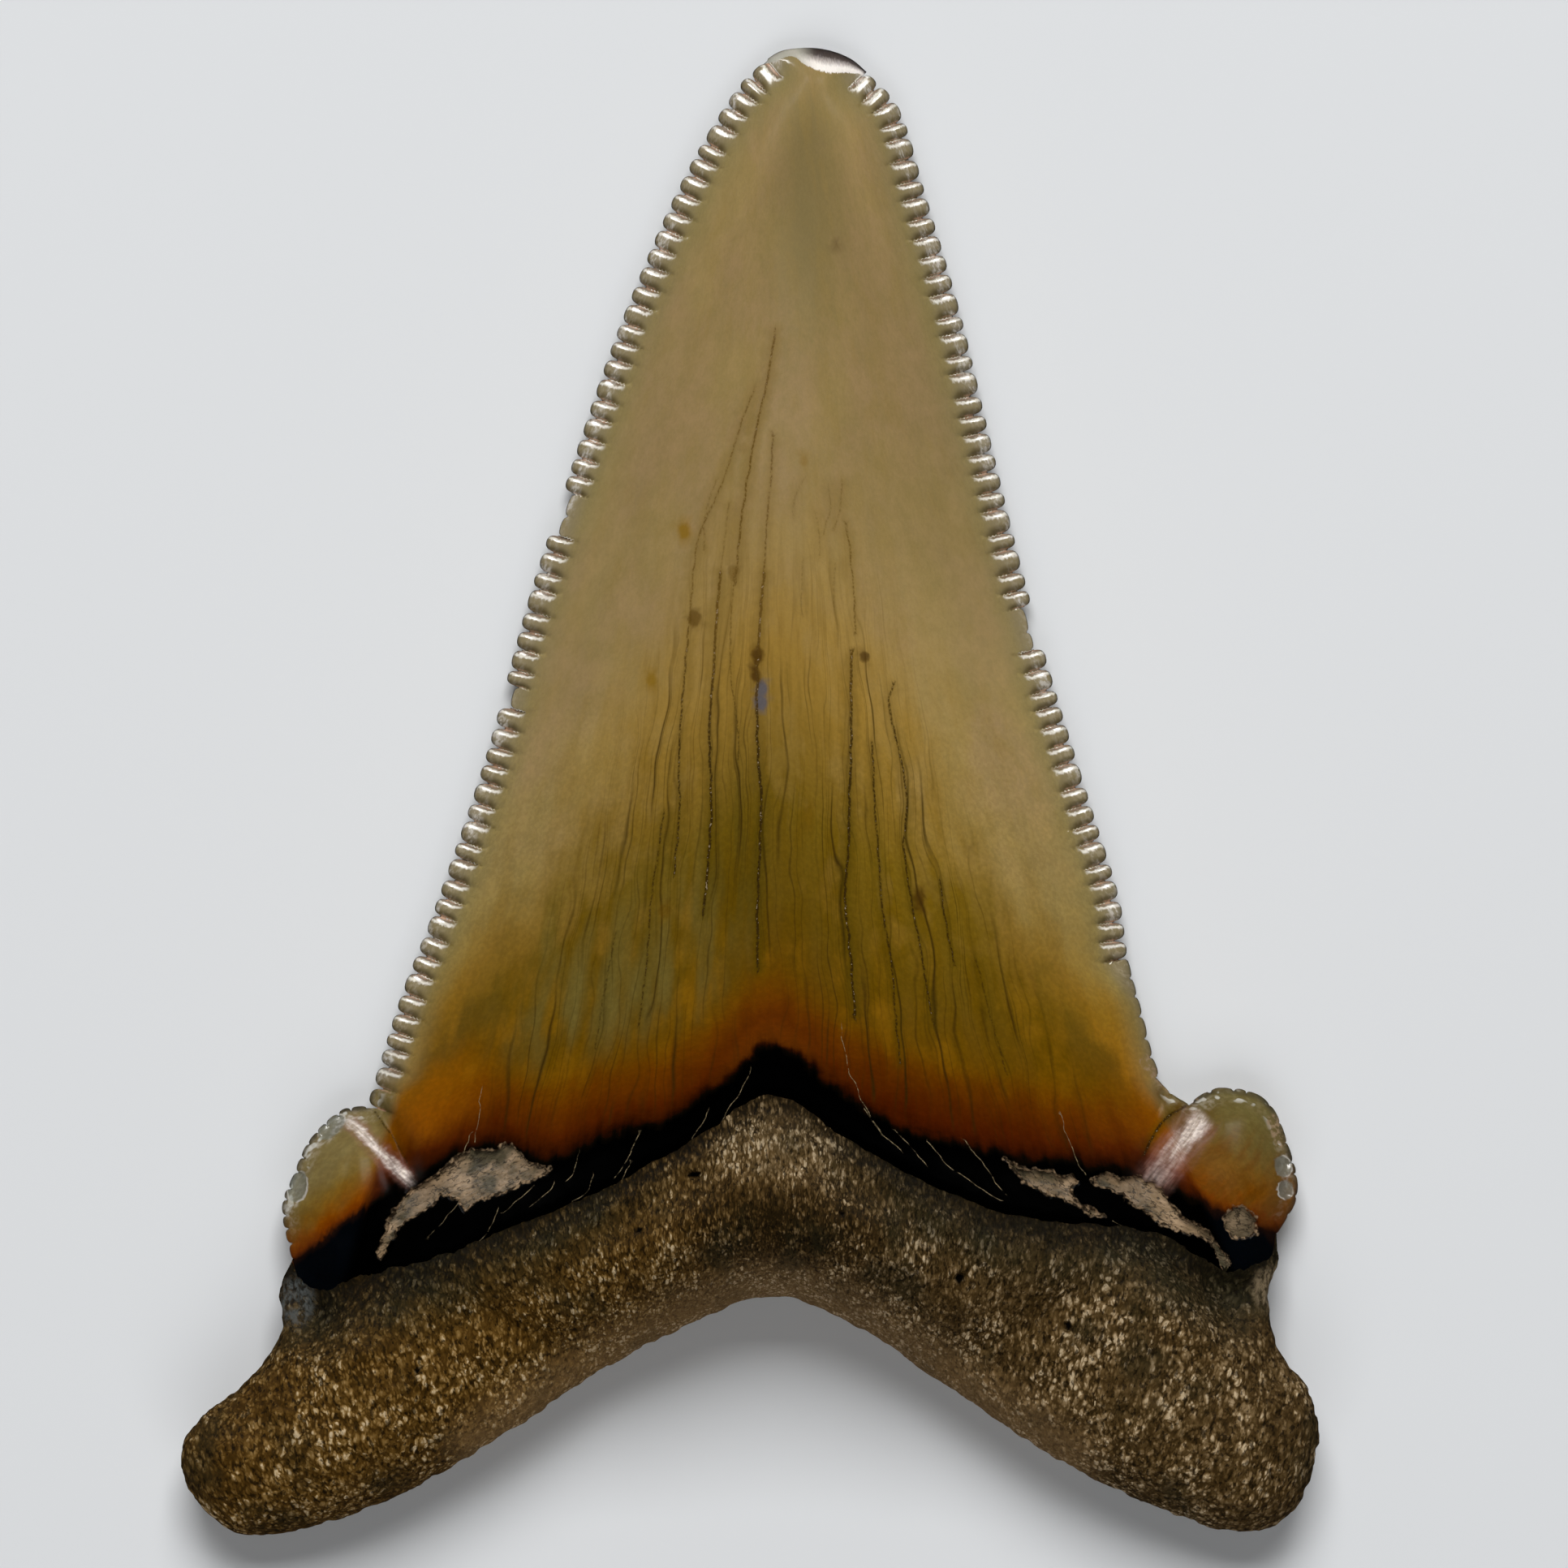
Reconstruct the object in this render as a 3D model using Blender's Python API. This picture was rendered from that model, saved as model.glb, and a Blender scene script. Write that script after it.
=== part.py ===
"""A fossil angustidens shark tooth, lying on its flat labial face with the lingual face up.

One closed solid in metres, +Z up: a serrated enamel crown with two serrated side cusplets, the
glossy band (bourlette) at its foot, and a two-lobed root with an arch between the lobes. +Y points
to the tip, the origin is under the middle of the tooth, and the flat labial patches lie at z = 0.

The tooth is described in millimetres, seen from above: outlines as smooth curves through a few
points, and the two faces as heights over that plan.
"""

import math
import random
from dataclasses import dataclass

import bpy
import numpy as np
from mathutils import Vector, noise
from mathutils.geometry import delaunay_2d_cdt, interpolate_bezier

MM = 0.001
NAME = "tooth"
SEED = 7

# Plan view, in mm. Each curve runs the way the outline does: down the left side, along the root, up the right.
LEFT_EDGE = [(0.7, 34.6), (-0.4, 33.6), (-2.0, 31.2), (-3.3, 28.8), (-4.55, 26.1), (-6.6, 21.0),
             (-8.65, 14.9), (-10.5, 9.2), (-12.6, 1.5), (-15.1, -5.9), (-16.55, -9.65), (-18.2, -15.0)]
LEFT_CUSPLET = [(-18.2, -15.0), (-19.4, -15.2), (-20.9, -16.6), (-21.65, -18.2), (-22.2, -19.8), (-21.7, -22.3)]
ROOT = [(-21.7, -22.3), (-22.3, -23.7), (-22.25, -25.8), (-24.0, -28.05), (-26.4, -30.05), (-26.95, -31.9),
        (-26.1, -33.95), (-23.8, -35.3), (-18.2, -34.1), (-12.5, -31.1), (-6.7, -27.3), (-3.1, -25.45),
        (0.9, -24.0), (4.4, -25.1), (9.2, -28.2), (14.6, -31.8), (20.9, -34.65), (23.9, -35.2),
        (25.9, -33.9), (26.9, -30.7), (26.4, -28.3), (25.1, -26.6), (24.5, -24.2), (25.0, -22.2), (24.9, -21.1)]
RIGHT_CUSPLET = [(24.9, -21.1), (25.9, -19.2), (25.5, -16.9), (24.4, -14.7), (22.2, -14.15), (20.9, -14.75)]
RIGHT_EDGE = [(20.9, -14.75), (20.2, -14.35), (19.35, -13.4), (18.6, -10.7), (17.9, -8.0), (17.5, -5.2),
              (16.25, -1.1), (14.4, 4.9), (12.8, 10.75), (11.35, 16.7), (9.95, 22.6), (8.25, 28.4),
              (7.0, 32.4), (5.5, 34.05)]
TIP_CHIP = [(5.5, 34.05), (4.8, 34.65), (3.85, 35.05), (2.9, 35.2), (1.9, 35.15), (1.3, 35.0), (0.7, 34.6)]
# The sides of the main crown carried on down through the band, for its rounding
LEFT_BELOW = [(-19.4, -19.5), (-21.0, -26.0)]
RIGHT_BELOW = [(20.7, -18.5), (22.4, -26.0)]

# The serrations: rounded lobes about a millimetre apart, each cut off from the next by a narrow notch
PITCH = 0.96
CUSPLET_PITCH = 0.8
NOTCH_DEPTH = 0.5
CUSPLET_NOTCH_DEPTH = 0.3
PITCH_SPREAD = 0.1
DEPTH_SPREAD = 0.2
FLANKS = (0.2, 0.5, 0.8)
FLANK_CUT = 0.13
FLUTE_DEPTH = 0.12
# Where serrations are broken or worn low: (y of the middle, half its length, how far the edge is set back)
LEFT_WEAR = [(13.1, 0.6, 0.4), (4.4, 0.8, 0.45)]
RIGHT_WEAR = [(8.1, 1.0, 0.4), (-14.3, 0.9, 0.2)]
RIGHT_LOW_FROM = -8.0
RIGHT_LOW_SHARE = 0.5

# The black band: its upper line, where the enamel ends, and its lower line, where the root begins
BAND_TOP = [(-21.6, -22.4), (-19.5, -20.7), (-17.6, -19.5), (-15.5, -18.3), (-12.2, -16.9), (-9.4, -17.5),
            (-6.6, -16.4), (-4.4, -15.9), (-2.3, -14.8), (-0.4, -13.2), (0.96, -12.3), (2.5, -13.1),
            (4.2, -14.4), (6.1, -15.6), (8.4, -16.5), (12.0, -17.4), (18.2, -18.3), (21.9, -20.2), (24.6, -21.5)]
BAND_FOOT = [(-21.7, -22.9), (-20.3, -23.7), (-18.9, -23.2), (-14.4, -21.8), (-11.2, -20.3), (-7.0, -18.5),
             (-2.3, -15.9), (-0.3, -14.5), (0.9, -14.05), (2.1, -14.4), (3.9, -15.7), (8.2, -18.1),
             (12.0, -19.7), (16.9, -20.3), (19.3, -20.8), (22.5, -22.7), (24.6, -23.0)]
# The labial face has no band: its enamel ends along one line, lower down
LABIAL_FOOT = [(-21.8, -22.6), (-17.5, -22.3), (-11.0, -20.6), (-4.5, -18.5), (1.0, -17.7), (6.5, -18.6),
               (13.0, -20.6), (19.5, -21.9), (24.7, -21.9)]
# The lower edge of the flat facet where the tip broke off
CHIP_EDGE = [(1.1, 34.35), (2.0, 34.2), (2.9, 33.85), (4.1, 33.65), (5.3, 33.8)]
CHIP_SLOPE = 1.15
BAND_SINK = 0.22
ROOT_LEDGE = 0.35
LEDGE_WIDTH = 0.5

# Enamel flaked off the band: a line along each patch, its half width and depth
FLAKES = [([(-16.2, -19.6), (-14.0, -18.2), (-11.9, -17.7), (-9.9, -17.9)], 0.95, 0.4),
          ([(12.2, -17.9), (15.0, -18.4), (18.2, -18.9), (20.8, -20.2), (22.3, -21.9)], 0.6, 0.35)]
FLAKE_STEP = 0.3

# The creases between the main crown and the cusplets, and the cusplets' own domes
CREASES = [[(-17.9, -14.9), (-16.9, -16.4), (-15.9, -18.7)], [(20.7, -15.0), (19.8, -16.5), (18.6, -18.2)]]
CREASE_DEPTH = 0.9
CREASE_WIDTH = 0.65


@dataclass(frozen=True)
class Dome:
    """An oval swelling on a face: its middle, the way it is long, its half sizes and height, in mm."""

    middle: tuple[float, float]
    lean: float
    half_long: float
    half_wide: float
    height: float

    def spots(self):
        """Its middle and points on two rings about it, out to its rim."""
        spots = [self.middle]
        for share, count in ((0.5, 6), (1.05, 9)):
            for turn in range(count):
                side = self.half_wide * share * math.cos(math.tau * turn / count)
                ahead = self.half_long * share * math.sin(math.tau * turn / count)
                x = self.middle[0] + side * math.cos(self.lean) + ahead * math.sin(self.lean)
                y = self.middle[1] - side * math.sin(self.lean) + ahead * math.cos(self.lean)
                spots.append((x, y))
        return spots

    def at(self, x, y):
        """The share of the dome's height at each point, from 1 in its middle to 0 at its rim."""
        across = (x - self.middle[0]) * math.cos(self.lean) - (y - self.middle[1]) * math.sin(self.lean)
        along = (x - self.middle[0]) * math.sin(self.lean) + (y - self.middle[1]) * math.cos(self.lean)
        reach = (across / self.half_wide) ** 2 + (along / self.half_long) ** 2
        return np.clip(1 - reach, 0, None)


CUSPLET_DOMES = [Dome((-19.0, -18.9), -0.25, 5.2, 3.5, 2.9), Dome((22.0, -18.5), 0.05, 5.2, 4.0, 2.9)]
ROOT_DOME = Dome((1.0, -18.6), 0.0, 9.5, 17.0, 4.6)
LABIAL_HOLLOW = Dome((1.0, -19.5), 0.0, 4.8, 13.0, 0.9)
PITS = [Dome((-2.6, -18.0), 1.3, 0.8, 0.45, 0.45), Dome((9.8, -22.9), 0.4, 0.7, 0.6, 0.45)]

# Heights above the surface that the tooth lies on, in mm, by y
RIM_HEIGHT = [(-35.5, 3.3), (-30.0, 3.9), (-25.0, 4.0), (-20.0, 2.5), (-15.0, 1.5), (0.0, 1.2), (30.0, 1.0), (35.5, 0.7)]
CROWN_AT_TIP = 1.2
CROWN_GAIN = 9.9
CROWN_REACH = 24.0
CROWN_ROUNDNESS = 0.85
CROWN_STEEPEST = 1.35
LABIAL_BEVEL = 6.0
LOBE_HEIGHT = 8.6
LOBE_END_HEIGHT = 7.0
LOBE_MIDDLE = 0.5
LOBE_TAPER = (17.0, 27.0)
ROOT_BLEND = 4.0
ROOT_ROUNDING = 4.6
BACK_ROUNDING = 3.4
LUMP_SIZE = (2.2, 1.5)
LUMP_HEIGHT = 0.85
LABIAL_LUMP_HEIGHT = 0.3
LABIAL_LEDGE = 0.25

# How far apart the points of the mesh are, in mm
CURVE_STEP = 0.25
PLAIN_STEP = 1.0
INNER_ROW = {"notch": 0.35, "crest": 0.6, "root": 0.3, "chip": 0.35}
ROW_DEPTHS = {"crown": (1.5,), "root": (1.0, 2.2)}
FRONT_STEP = {"crown": 1.6, "root": 0.85, "cusplet": 0.85}
BACK_STEP = 2.0
LINE_STEP = 1.0
FINE_STEP = 0.7
# How close a point may lie to one that matters more, as a share of its step, and beside lines and in pits
CLEARANCE = 0.72
LINE_GAP = 0.38
FINE_GAP = 0.15
EDGE_OFFSET = 0.05


@dataclass
class Station:
    """A place on the smooth outline: its point, the way into the tooth, how deep the real edge lies
    there, and how deep the first row of the faces lies, or None where that row has no point."""

    at: Vector
    inward: Vector
    cut: float
    inner: float | None
    flute: float = 0.0


def smooth_curve(points, step=CURVE_STEP):
    """Points about a step apart along a smooth curve through the given ones."""
    knots = [Vector(p) for p in points]
    last = len(knots) - 1
    ways = [(knots[min(i + 1, last)] - knots[max(i - 1, 0)]).normalized() for i in range(last + 1)]
    curve = []
    for i in range(last):
        reach = (knots[i + 1] - knots[i]).length
        count = max(2, round(reach / step) + 1)
        handles = (knots[i] + ways[i] * reach / 3, knots[i + 1] - ways[i + 1] * reach / 3)
        curve += interpolate_bezier(knots[i], *handles, knots[i + 1], count)[:-1]
    return curve + [knots[last]]


def as_array(points):
    return np.array([tuple(p) for p in points])


def smooth_step(value, low, high):
    """0 up to low, 1 from high on, and a soft rise between them."""
    t = np.clip((value - low) / (high - low), 0, 1)
    return t * t * (3 - 2 * t)


def height_of(line, x):
    """The y of a curve that runs from left to right, at each x."""
    curve = as_array(smooth_curve(line))
    return np.interp(x, curve[:, 0], curve[:, 1])


def distance_to(line, x, y):
    """How far each point is from a line of points."""
    nearest = np.full(np.shape(x), np.inf)
    for (ax, ay), (bx, by) in zip(line[:-1], line[1:]):
        length = max((bx - ax) ** 2 + (by - ay) ** 2, 1e-12)
        t = np.clip(((x - ax) * (bx - ax) + (y - ay) * (by - ay)) / length, 0, 1)
        nearest = np.minimum(nearest, np.hypot(x - ax - t * (bx - ax), y - ay - t * (by - ay)))
    return nearest


def walk(curve):
    """A function that gives the point and the inward direction at a distance along a curve, and its length."""
    points = as_array(curve)
    along = np.concatenate([[0], np.cumsum(np.hypot(*np.diff(points, axis=0).T))])

    def place(distance):
        before, after = max(distance - 0.3, 0), min(distance + 0.3, along[-1])
        way = Vector([np.interp(after, along, points[:, k]) - np.interp(before, along, points[:, k]) for k in (0, 1)])
        at = Vector([np.interp(distance, along, points[:, k]) for k in (0, 1)])
        return at, Vector((-way.y, way.x)).normalized()

    return place, along[-1]


def worn(wear, y):
    """How far the edge is set back at a height, by the broken stretches there."""
    return max((back for middle, half, back in wear if abs(y - middle) < half), default=0.0)


def serrated(points, pitch, depth, wear=(), low_from=None, first_share=1.0):
    """Stations along a cutting edge: a notch, then three points round each lobe."""
    place, length = walk(smooth_curve(points))
    rng = random.Random(SEED + len(points))
    count = round(length / pitch)
    starts = [length * (k + rng.uniform(-PITCH_SPREAD, PITCH_SPREAD) * (k > 0)) / count for k in range(count)]
    stations = []
    for start, end in zip(starts, starts[1:] + [length]):
        middle_y = place((start + end) / 2)[0].y
        size = depth * (1 + rng.uniform(-DEPTH_SPREAD, DEPTH_SPREAD))
        if low_from is not None and middle_y < low_from:
            size *= RIGHT_LOW_SHARE
        back = worn(wear, middle_y)
        size *= 1 - 0.6 * (back > 0)
        notch = back + size * (1 if stations else first_share)
        stations.append(Station(*place(start), notch, notch + INNER_ROW["notch"], FLUTE_DEPTH))
        for share in FLANKS:
            crest = share == FLANKS[1]
            cut = back + (0 if crest else size * FLANK_CUT)
            inner = back + INNER_ROW["crest"] if crest else None
            stations.append(Station(*place(start + (end - start) * share), cut, inner))
    return stations


def plain(points, inner):
    """Stations along a stretch with no serrations."""
    place, length = walk(smooth_curve(points))
    count = max(2, round(length / PLAIN_STEP))
    return [Station(*place(length * k / count), 0.0, inner) for k in range(count)]


def lumps(x, y, layer):
    """The uneven surface of the root, as heights between about -1 and 1."""
    return np.array([noise.noise(Vector((px / LUMP_SIZE[0], py / LUMP_SIZE[1], layer))) for px, py in zip(x, y)])


class Plan:
    """The tooth seen from above, with the heights of its two faces."""

    def __init__(self):
        self.left = as_array(smooth_curve(LEFT_EDGE + LEFT_BELOW))[::-1]
        self.right = as_array(smooth_curve(RIGHT_BELOW[::-1] + RIGHT_EDGE[2:]))
        self.rim = as_array(smooth_curve(RIM_HEIGHT))
        parts = (LEFT_EDGE, LEFT_CUSPLET, ROOT, RIGHT_CUSPLET, RIGHT_EDGE, TIP_CHIP)
        self.outline = np.concatenate([as_array(smooth_curve(p)) for p in parts])

    def across(self, x, y):
        """Where each point lies across the crown, from -1 on its left edge to 1 on its right."""
        left = np.interp(y, self.left[:, 1], self.left[:, 0])
        right = np.interp(y, self.right[:, 1], self.right[:, 0])
        return np.clip((2 * x - left - right) / (right - left), -1, 1)

    def rim_height(self, y):
        return np.interp(y, self.rim[:, 0], self.rim[:, 1])

    def root_share(self, x, y):
        """0 on the crown, 1 on the root, rising below the foot of the band."""
        return smooth_step(height_of(BAND_FOOT, x) - y, 0, ROOT_BLEND)

    def front(self, x, y):
        """The height of the lingual face."""
        depth = distance_to(self.outline, x, y)
        rim = self.rim_height(y)
        full = CROWN_AT_TIP + CROWN_GAIN * (1 - np.exp(-(35 - y) / CROWN_REACH))
        crown = full * (1 - self.across(x, y) ** 2) ** CROWN_ROUNDNESS
        for dome in CUSPLET_DOMES:
            crown = np.maximum(crown, 0.6 * crown + dome.height * dome.at(x, y))
        for crease in CREASES:
            away = distance_to(as_array(smooth_curve(crease)), x, y)
            crown = crown - CREASE_DEPTH * np.exp(-((away / CREASE_WIDTH) ** 2))
        below_top = height_of(BAND_TOP, x) - y
        below_foot = height_of(BAND_FOOT, x) - y
        crown = crown - BAND_SINK * smooth_step(below_top, 0, LEDGE_WIDTH)
        for line, half_width, sink in FLAKES:
            away = distance_to(as_array(smooth_curve(line)), x, y)
            crown = crown - sink * (1 - smooth_step(away, half_width - FLAKE_STEP, half_width))
        taper = smooth_step(abs(x - LOBE_MIDDLE), *LOBE_TAPER)
        root = LOBE_HEIGHT + (LOBE_END_HEIGHT - LOBE_HEIGHT) * taper + ROOT_DOME.height * ROOT_DOME.at(x, y) - rim
        share = self.root_share(x, y)
        crown = np.minimum(np.maximum(crown, 0), CROWN_STEEPEST * depth)
        crown = np.minimum(crown, CHIP_SLOPE * distance_to(as_array(smooth_curve(TIP_CHIP)), x, y))
        ledge = ROOT_LEDGE * smooth_step(below_foot, 0, LEDGE_WIDTH)
        round_edge = np.sqrt(1 - (1 - np.clip(depth / ROOT_ROUNDING, 0, 1)) ** 2)
        root = np.maximum(root * round_edge, 0)
        height = rim + crown * (1 - share) + root * share + ledge * np.clip(depth, 0, 1)
        height = height + lumps(x, y, 0.0) * LUMP_HEIGHT * share * np.clip(depth / 2, 0, 1)
        for pit in PITS:
            height = height - pit.height * pit.at(x, y)
        return height

    def back(self, x, y):
        """The height of the labial face, flat at 0 down its middle and on both lobes."""
        depth = distance_to(self.outline, x, y)
        rim = self.rim_height(y)
        crown = rim * np.clip(1 - depth / LABIAL_BEVEL, 0, 1) ** 2
        below_foot = height_of(LABIAL_FOOT, x) - y
        hollow = LABIAL_HOLLOW.height * LABIAL_HOLLOW.at(x, y) ** 2
        hollow = hollow + LABIAL_LUMP_HEIGHT * np.clip(lumps(x, y, 9.0) - 0.1, 0, None)
        round_edge = np.sqrt(1 - (1 - np.clip(depth / BACK_ROUNDING, 0, 1)) ** 2)
        root = rim - (rim - hollow) * round_edge
        share = smooth_step(below_foot, 0, ROOT_BLEND)
        ledge = LABIAL_LEDGE * smooth_step(below_foot, 0, LEDGE_WIDTH) * (1 - share) * np.clip(depth - 1, 0, 1)
        return np.maximum(crown * (1 - share) + root * share + ledge, 0)


def stations():
    """The whole outline, in order round the tooth with the tooth on its left-hand side."""
    return (
        serrated(LEFT_EDGE, PITCH, NOTCH_DEPTH, LEFT_WEAR, first_share=0.2)
        + serrated(LEFT_CUSPLET, CUSPLET_PITCH, CUSPLET_NOTCH_DEPTH)
        + plain(ROOT, INNER_ROW["root"])
        + serrated(RIGHT_CUSPLET, CUSPLET_PITCH, CUSPLET_NOTCH_DEPTH)
        + serrated(RIGHT_EDGE, PITCH, NOTCH_DEPTH, RIGHT_WEAR, RIGHT_LOW_FROM)
        + plain(TIP_CHIP, INNER_ROW["chip"])
    )


def inside(polygon, x, y):
    """Which points lie within a closed polygon."""
    hits = np.zeros(np.shape(x), bool)
    for (ax, ay), (bx, by) in zip(polygon, np.roll(polygon, -1, axis=0)):
        crosses = (ay > y) != (by > y)
        hits ^= crosses & (x < ax + (y - ay) * (bx - ax) / (by - ay if by != ay else 1))
    return hits


def grid(step):
    """Points of a triangular grid over the whole plan."""
    rows = np.arange(-36, 36, step * math.sqrt(0.75))
    return np.array([(x + step / 2 * (k % 2), y) for k, y in enumerate(rows) for x in np.arange(-28, 28, step)])


def thinned(points, spacing):
    """The points in order, less each one that lies within its spacing of one kept before it."""
    kept = np.zeros((0, 2))
    for point, space in zip(points, spacing):
        if not len(kept) or np.hypot(*(kept - point).T).min() >= space:
            kept = np.vstack([kept, point])
    return kept


def along(line, step, *offsets):
    """Points beside a line, in rows at the given distances from it."""
    place, length = walk(smooth_curve(line))
    spots = [place(s) for s in np.arange(step / 2, length, step)]
    return [tuple(at + side * offset) for offset in offsets for at, side in spots]


def row_points(loop):
    """Points in rows along the outline, behind its first row: two on the root and one on the crown."""
    wanted = []
    for station in loop:
        is_root = station.cut == 0 and station.at.y < ROOT[0][1]
        depths = ROW_DEPTHS["root" if is_root else "crown"]
        if station.inner is not None and (is_root or station.flute == 0):
            wanted += [(tuple(station.at + station.inward * depth), CLEARANCE) for depth in depths]
    return wanted


def front_points(plan):
    """Points on the lingual face: its steps, flakes, creases and pits first, then even grids."""
    wanted = []
    for line in (BAND_TOP, BAND_FOOT):
        wanted += [(p, LINE_GAP) for p in along(line, LINE_STEP, -EDGE_OFFSET, EDGE_OFFSET - LEDGE_WIDTH)]
    wanted += [(p, FINE_GAP) for p in along(CHIP_EDGE, FINE_STEP, -2 * EDGE_OFFSET, 2 * EDGE_OFFSET, FINE_STEP)]
    for line, half_width, _ in FLAKES:
        foot = half_width - FLAKE_STEP
        wanted += [(p, LINE_GAP) for p in along(line, FINE_STEP, 0, half_width, -half_width, -foot, foot)]
    for crease in CREASES:
        wanted += [(p, LINE_GAP) for p in along(crease, FINE_STEP, 0, CREASE_WIDTH, -CREASE_WIDTH)]
    for pit in PITS:
        wanted += [(p, FINE_GAP) for p in pit.spots()]
    for kind, step in sorted(FRONT_STEP.items(), key=lambda item: item[1]):
        points = grid(step)
        share = plan.root_share(points[:, 0], points[:, 1]) > 0
        cusplet = sum(dome.at(points[:, 0], points[:, 1]) for dome in CUSPLET_DOMES) > 0
        region = {"root": share, "cusplet": cusplet & ~share, "crown": ~share & ~cusplet}[kind]
        wanted += [(tuple(p), CLEARANCE * step) for p in points[region]]
    return wanted


def back_points():
    """Points on the labial face: the line where its enamel ends first, then an even grid."""
    rows = along(LABIAL_FOOT, LINE_STEP, -EDGE_OFFSET, EDGE_OFFSET - LEDGE_WIDTH)
    return [(p, LINE_GAP) for p in rows] + [(tuple(p), CLEARANCE * BACK_STEP) for p in grid(BACK_STEP)]


def face_points(plan, ring, loop, front):
    """The points within the first row of a face, the important ones first."""
    wanted = row_points(loop) + (front_points(plan) if front else back_points())
    points = as_array([p for p, _ in wanted])
    space = np.array([s for _, s in wanted])
    clear = distance_to(np.vstack([ring, ring[:1]]), points[:, 0], points[:, 1])
    good = inside(ring, points[:, 0], points[:, 1]) & (clear > 0.5 * np.minimum(space, 1.0))
    return thinned(points[good], space[good])


def strip(outer, inner, outer_at, inner_at):
    """Triangles that join two closed rows, whose points lie at the given places along the outline."""
    faces = []
    i = j = 0
    while i < len(outer) or j < len(inner):
        next_outer = outer_at[i + 1] if i + 1 < len(outer) else outer_at[0] + len(outer)
        next_inner = inner_at[j + 1] if j + 1 < len(inner) else inner_at[0] + len(outer)
        a, b = outer[i % len(outer)], inner[j % len(inner)]
        if j >= len(inner) or (i < len(outer) and next_outer <= next_inner):
            faces.append((a, outer[(i + 1) % len(outer)], b))
            i += 1
        else:
            faces.append((a, inner[(j + 1) % len(inner)], b))
            j += 1
    return faces


def fill(points, count):
    """Triangles over all the points and within the closed row that the first count of them make."""
    row = [(k, (k + 1) % count) for k in range(count)]
    _, _, triangles, *_ = delaunay_2d_cdt([Vector(p) for p in points], row, [], 1, 1e-6, False)
    centres = np.array([points[t].mean(0) for t in triangles])
    return [t for t, good in zip(triangles, inside(points[:count], *centres.T)) if good]


def tooth_mesh():
    """The closed mesh of the tooth: a front and a back face that share their outline."""
    plan = Plan()
    loop = stations()
    rim = as_array([s.at + s.inward * s.cut for s in loop])
    rim_z = plan.rim_height(rim[:, 1])
    inner_at = [k for k, s in enumerate(loop) if s.inner is not None]
    ring = as_array([loop[k].at + loop[k].inward * loop[k].inner for k in inner_at])
    flutes = np.array([loop[k].flute for k in inner_at])
    verts = [(x, y, z) for (x, y), z in zip(rim, rim_z)]
    faces = []
    outer = list(range(len(rim)))
    for front in (True, False):
        start = len(verts)
        row = list(range(start, start + len(ring)))
        inner = face_points(plan, ring, loop, front)
        points = np.vstack([ring, inner])
        surface = plan.front if front else plan.back
        z = surface(points[:, 0], points[:, 1])
        z[: len(ring)] -= flutes if front else -flutes / 2
        verts += [(px, py, pz) for (px, py), pz in zip(points, z)]
        face = strip(outer, row, list(range(len(rim))), inner_at)
        face += [tuple(start + v for v in t) for t in fill(points, len(ring))]
        faces += [upward(t, verts) if front else upward(t, verts)[::-1] for t in face]
    return verts, faces


def upward(triangle, verts):
    """The triangle, turned if need be so that it faces up."""
    (ax, ay, _), (bx, by, _), (cx, cy, _) = (verts[v] for v in triangle)
    return triangle if (bx - ax) * (cy - ay) > (cx - ax) * (by - ay) else triangle[::-1]


def zone(centre, front):
    """0 on the enamel, 1 on the band and 2 on the root, by the middle of a triangle in mm."""
    if not front:
        return 2 if centre.y < height_of(LABIAL_FOOT, centre.x) else 0
    return int(centre.y < height_of(BAND_TOP, centre.x)) + int(centre.y < height_of(BAND_FOOT, centre.x))


def finish(name, color, roughness):
    """A material with one plain colour."""
    material = bpy.data.materials.new(name)
    material.use_nodes = True
    shader = material.node_tree.nodes["Principled BSDF"]
    shader.inputs["Base Color"].default_value = (*color, 1)
    shader.inputs["Roughness"].default_value = roughness
    shader.inputs["Metallic"].default_value = 0
    return material


def build():
    """Makes the tooth's object, with its enamel, band and root coloured apart."""
    verts, faces = tooth_mesh()
    corners = np.array(verts)
    middle = (corners.min(0) + corners.max(0)) / 2
    moved = (corners - [middle[0], middle[1], corners[:, 2].min()]) * MM
    mesh = bpy.data.meshes.new(NAME)
    mesh.from_pydata(moved.tolist(), [], faces)
    mesh.materials.append(finish("enamel", (0.28, 0.2, 0.08), 0.25))
    mesh.materials.append(finish("band", (0.01, 0.01, 0.012), 0.2))
    mesh.materials.append(finish("root", (0.1, 0.07, 0.035), 0.7))
    for polygon in mesh.polygons:
        polygon.material_index = zone(polygon.center / MM + Vector((middle[0], middle[1], 0)), polygon.normal.z > 0)
    mesh.shade_smooth()
    mesh.set_sharp_from_angle(angle=math.radians(40))
    tooth = bpy.data.objects.new(NAME, mesh)
    bpy.context.scene.collection.objects.link(tooth)
    return tooth


def main():
    for old in list(bpy.data.objects):
        bpy.data.objects.remove(old, do_unlink=True)
    build()


if __name__ == "__main__":
    main()
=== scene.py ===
"""The looks of a fossil angustidens shark tooth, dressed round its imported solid.

The tooth lies on its flat labial face with the lingual face up. Two closed skins stand for the one
solid: the enamel cap, with its serrated edges, side cusplets and black band, and the root, which
runs on under the cap as the core that shows where enamel has flaked off.

All of it is described in millimetres, seen from above, with +Y towards the tip and +Z up.
"""

import logging
import math
import random
from dataclasses import dataclass, field
from enum import Enum

import bpy
import numpy as np
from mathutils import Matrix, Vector, kdtree, noise
from mathutils.geometry import delaunay_2d_cdt, interpolate_bezier


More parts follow.
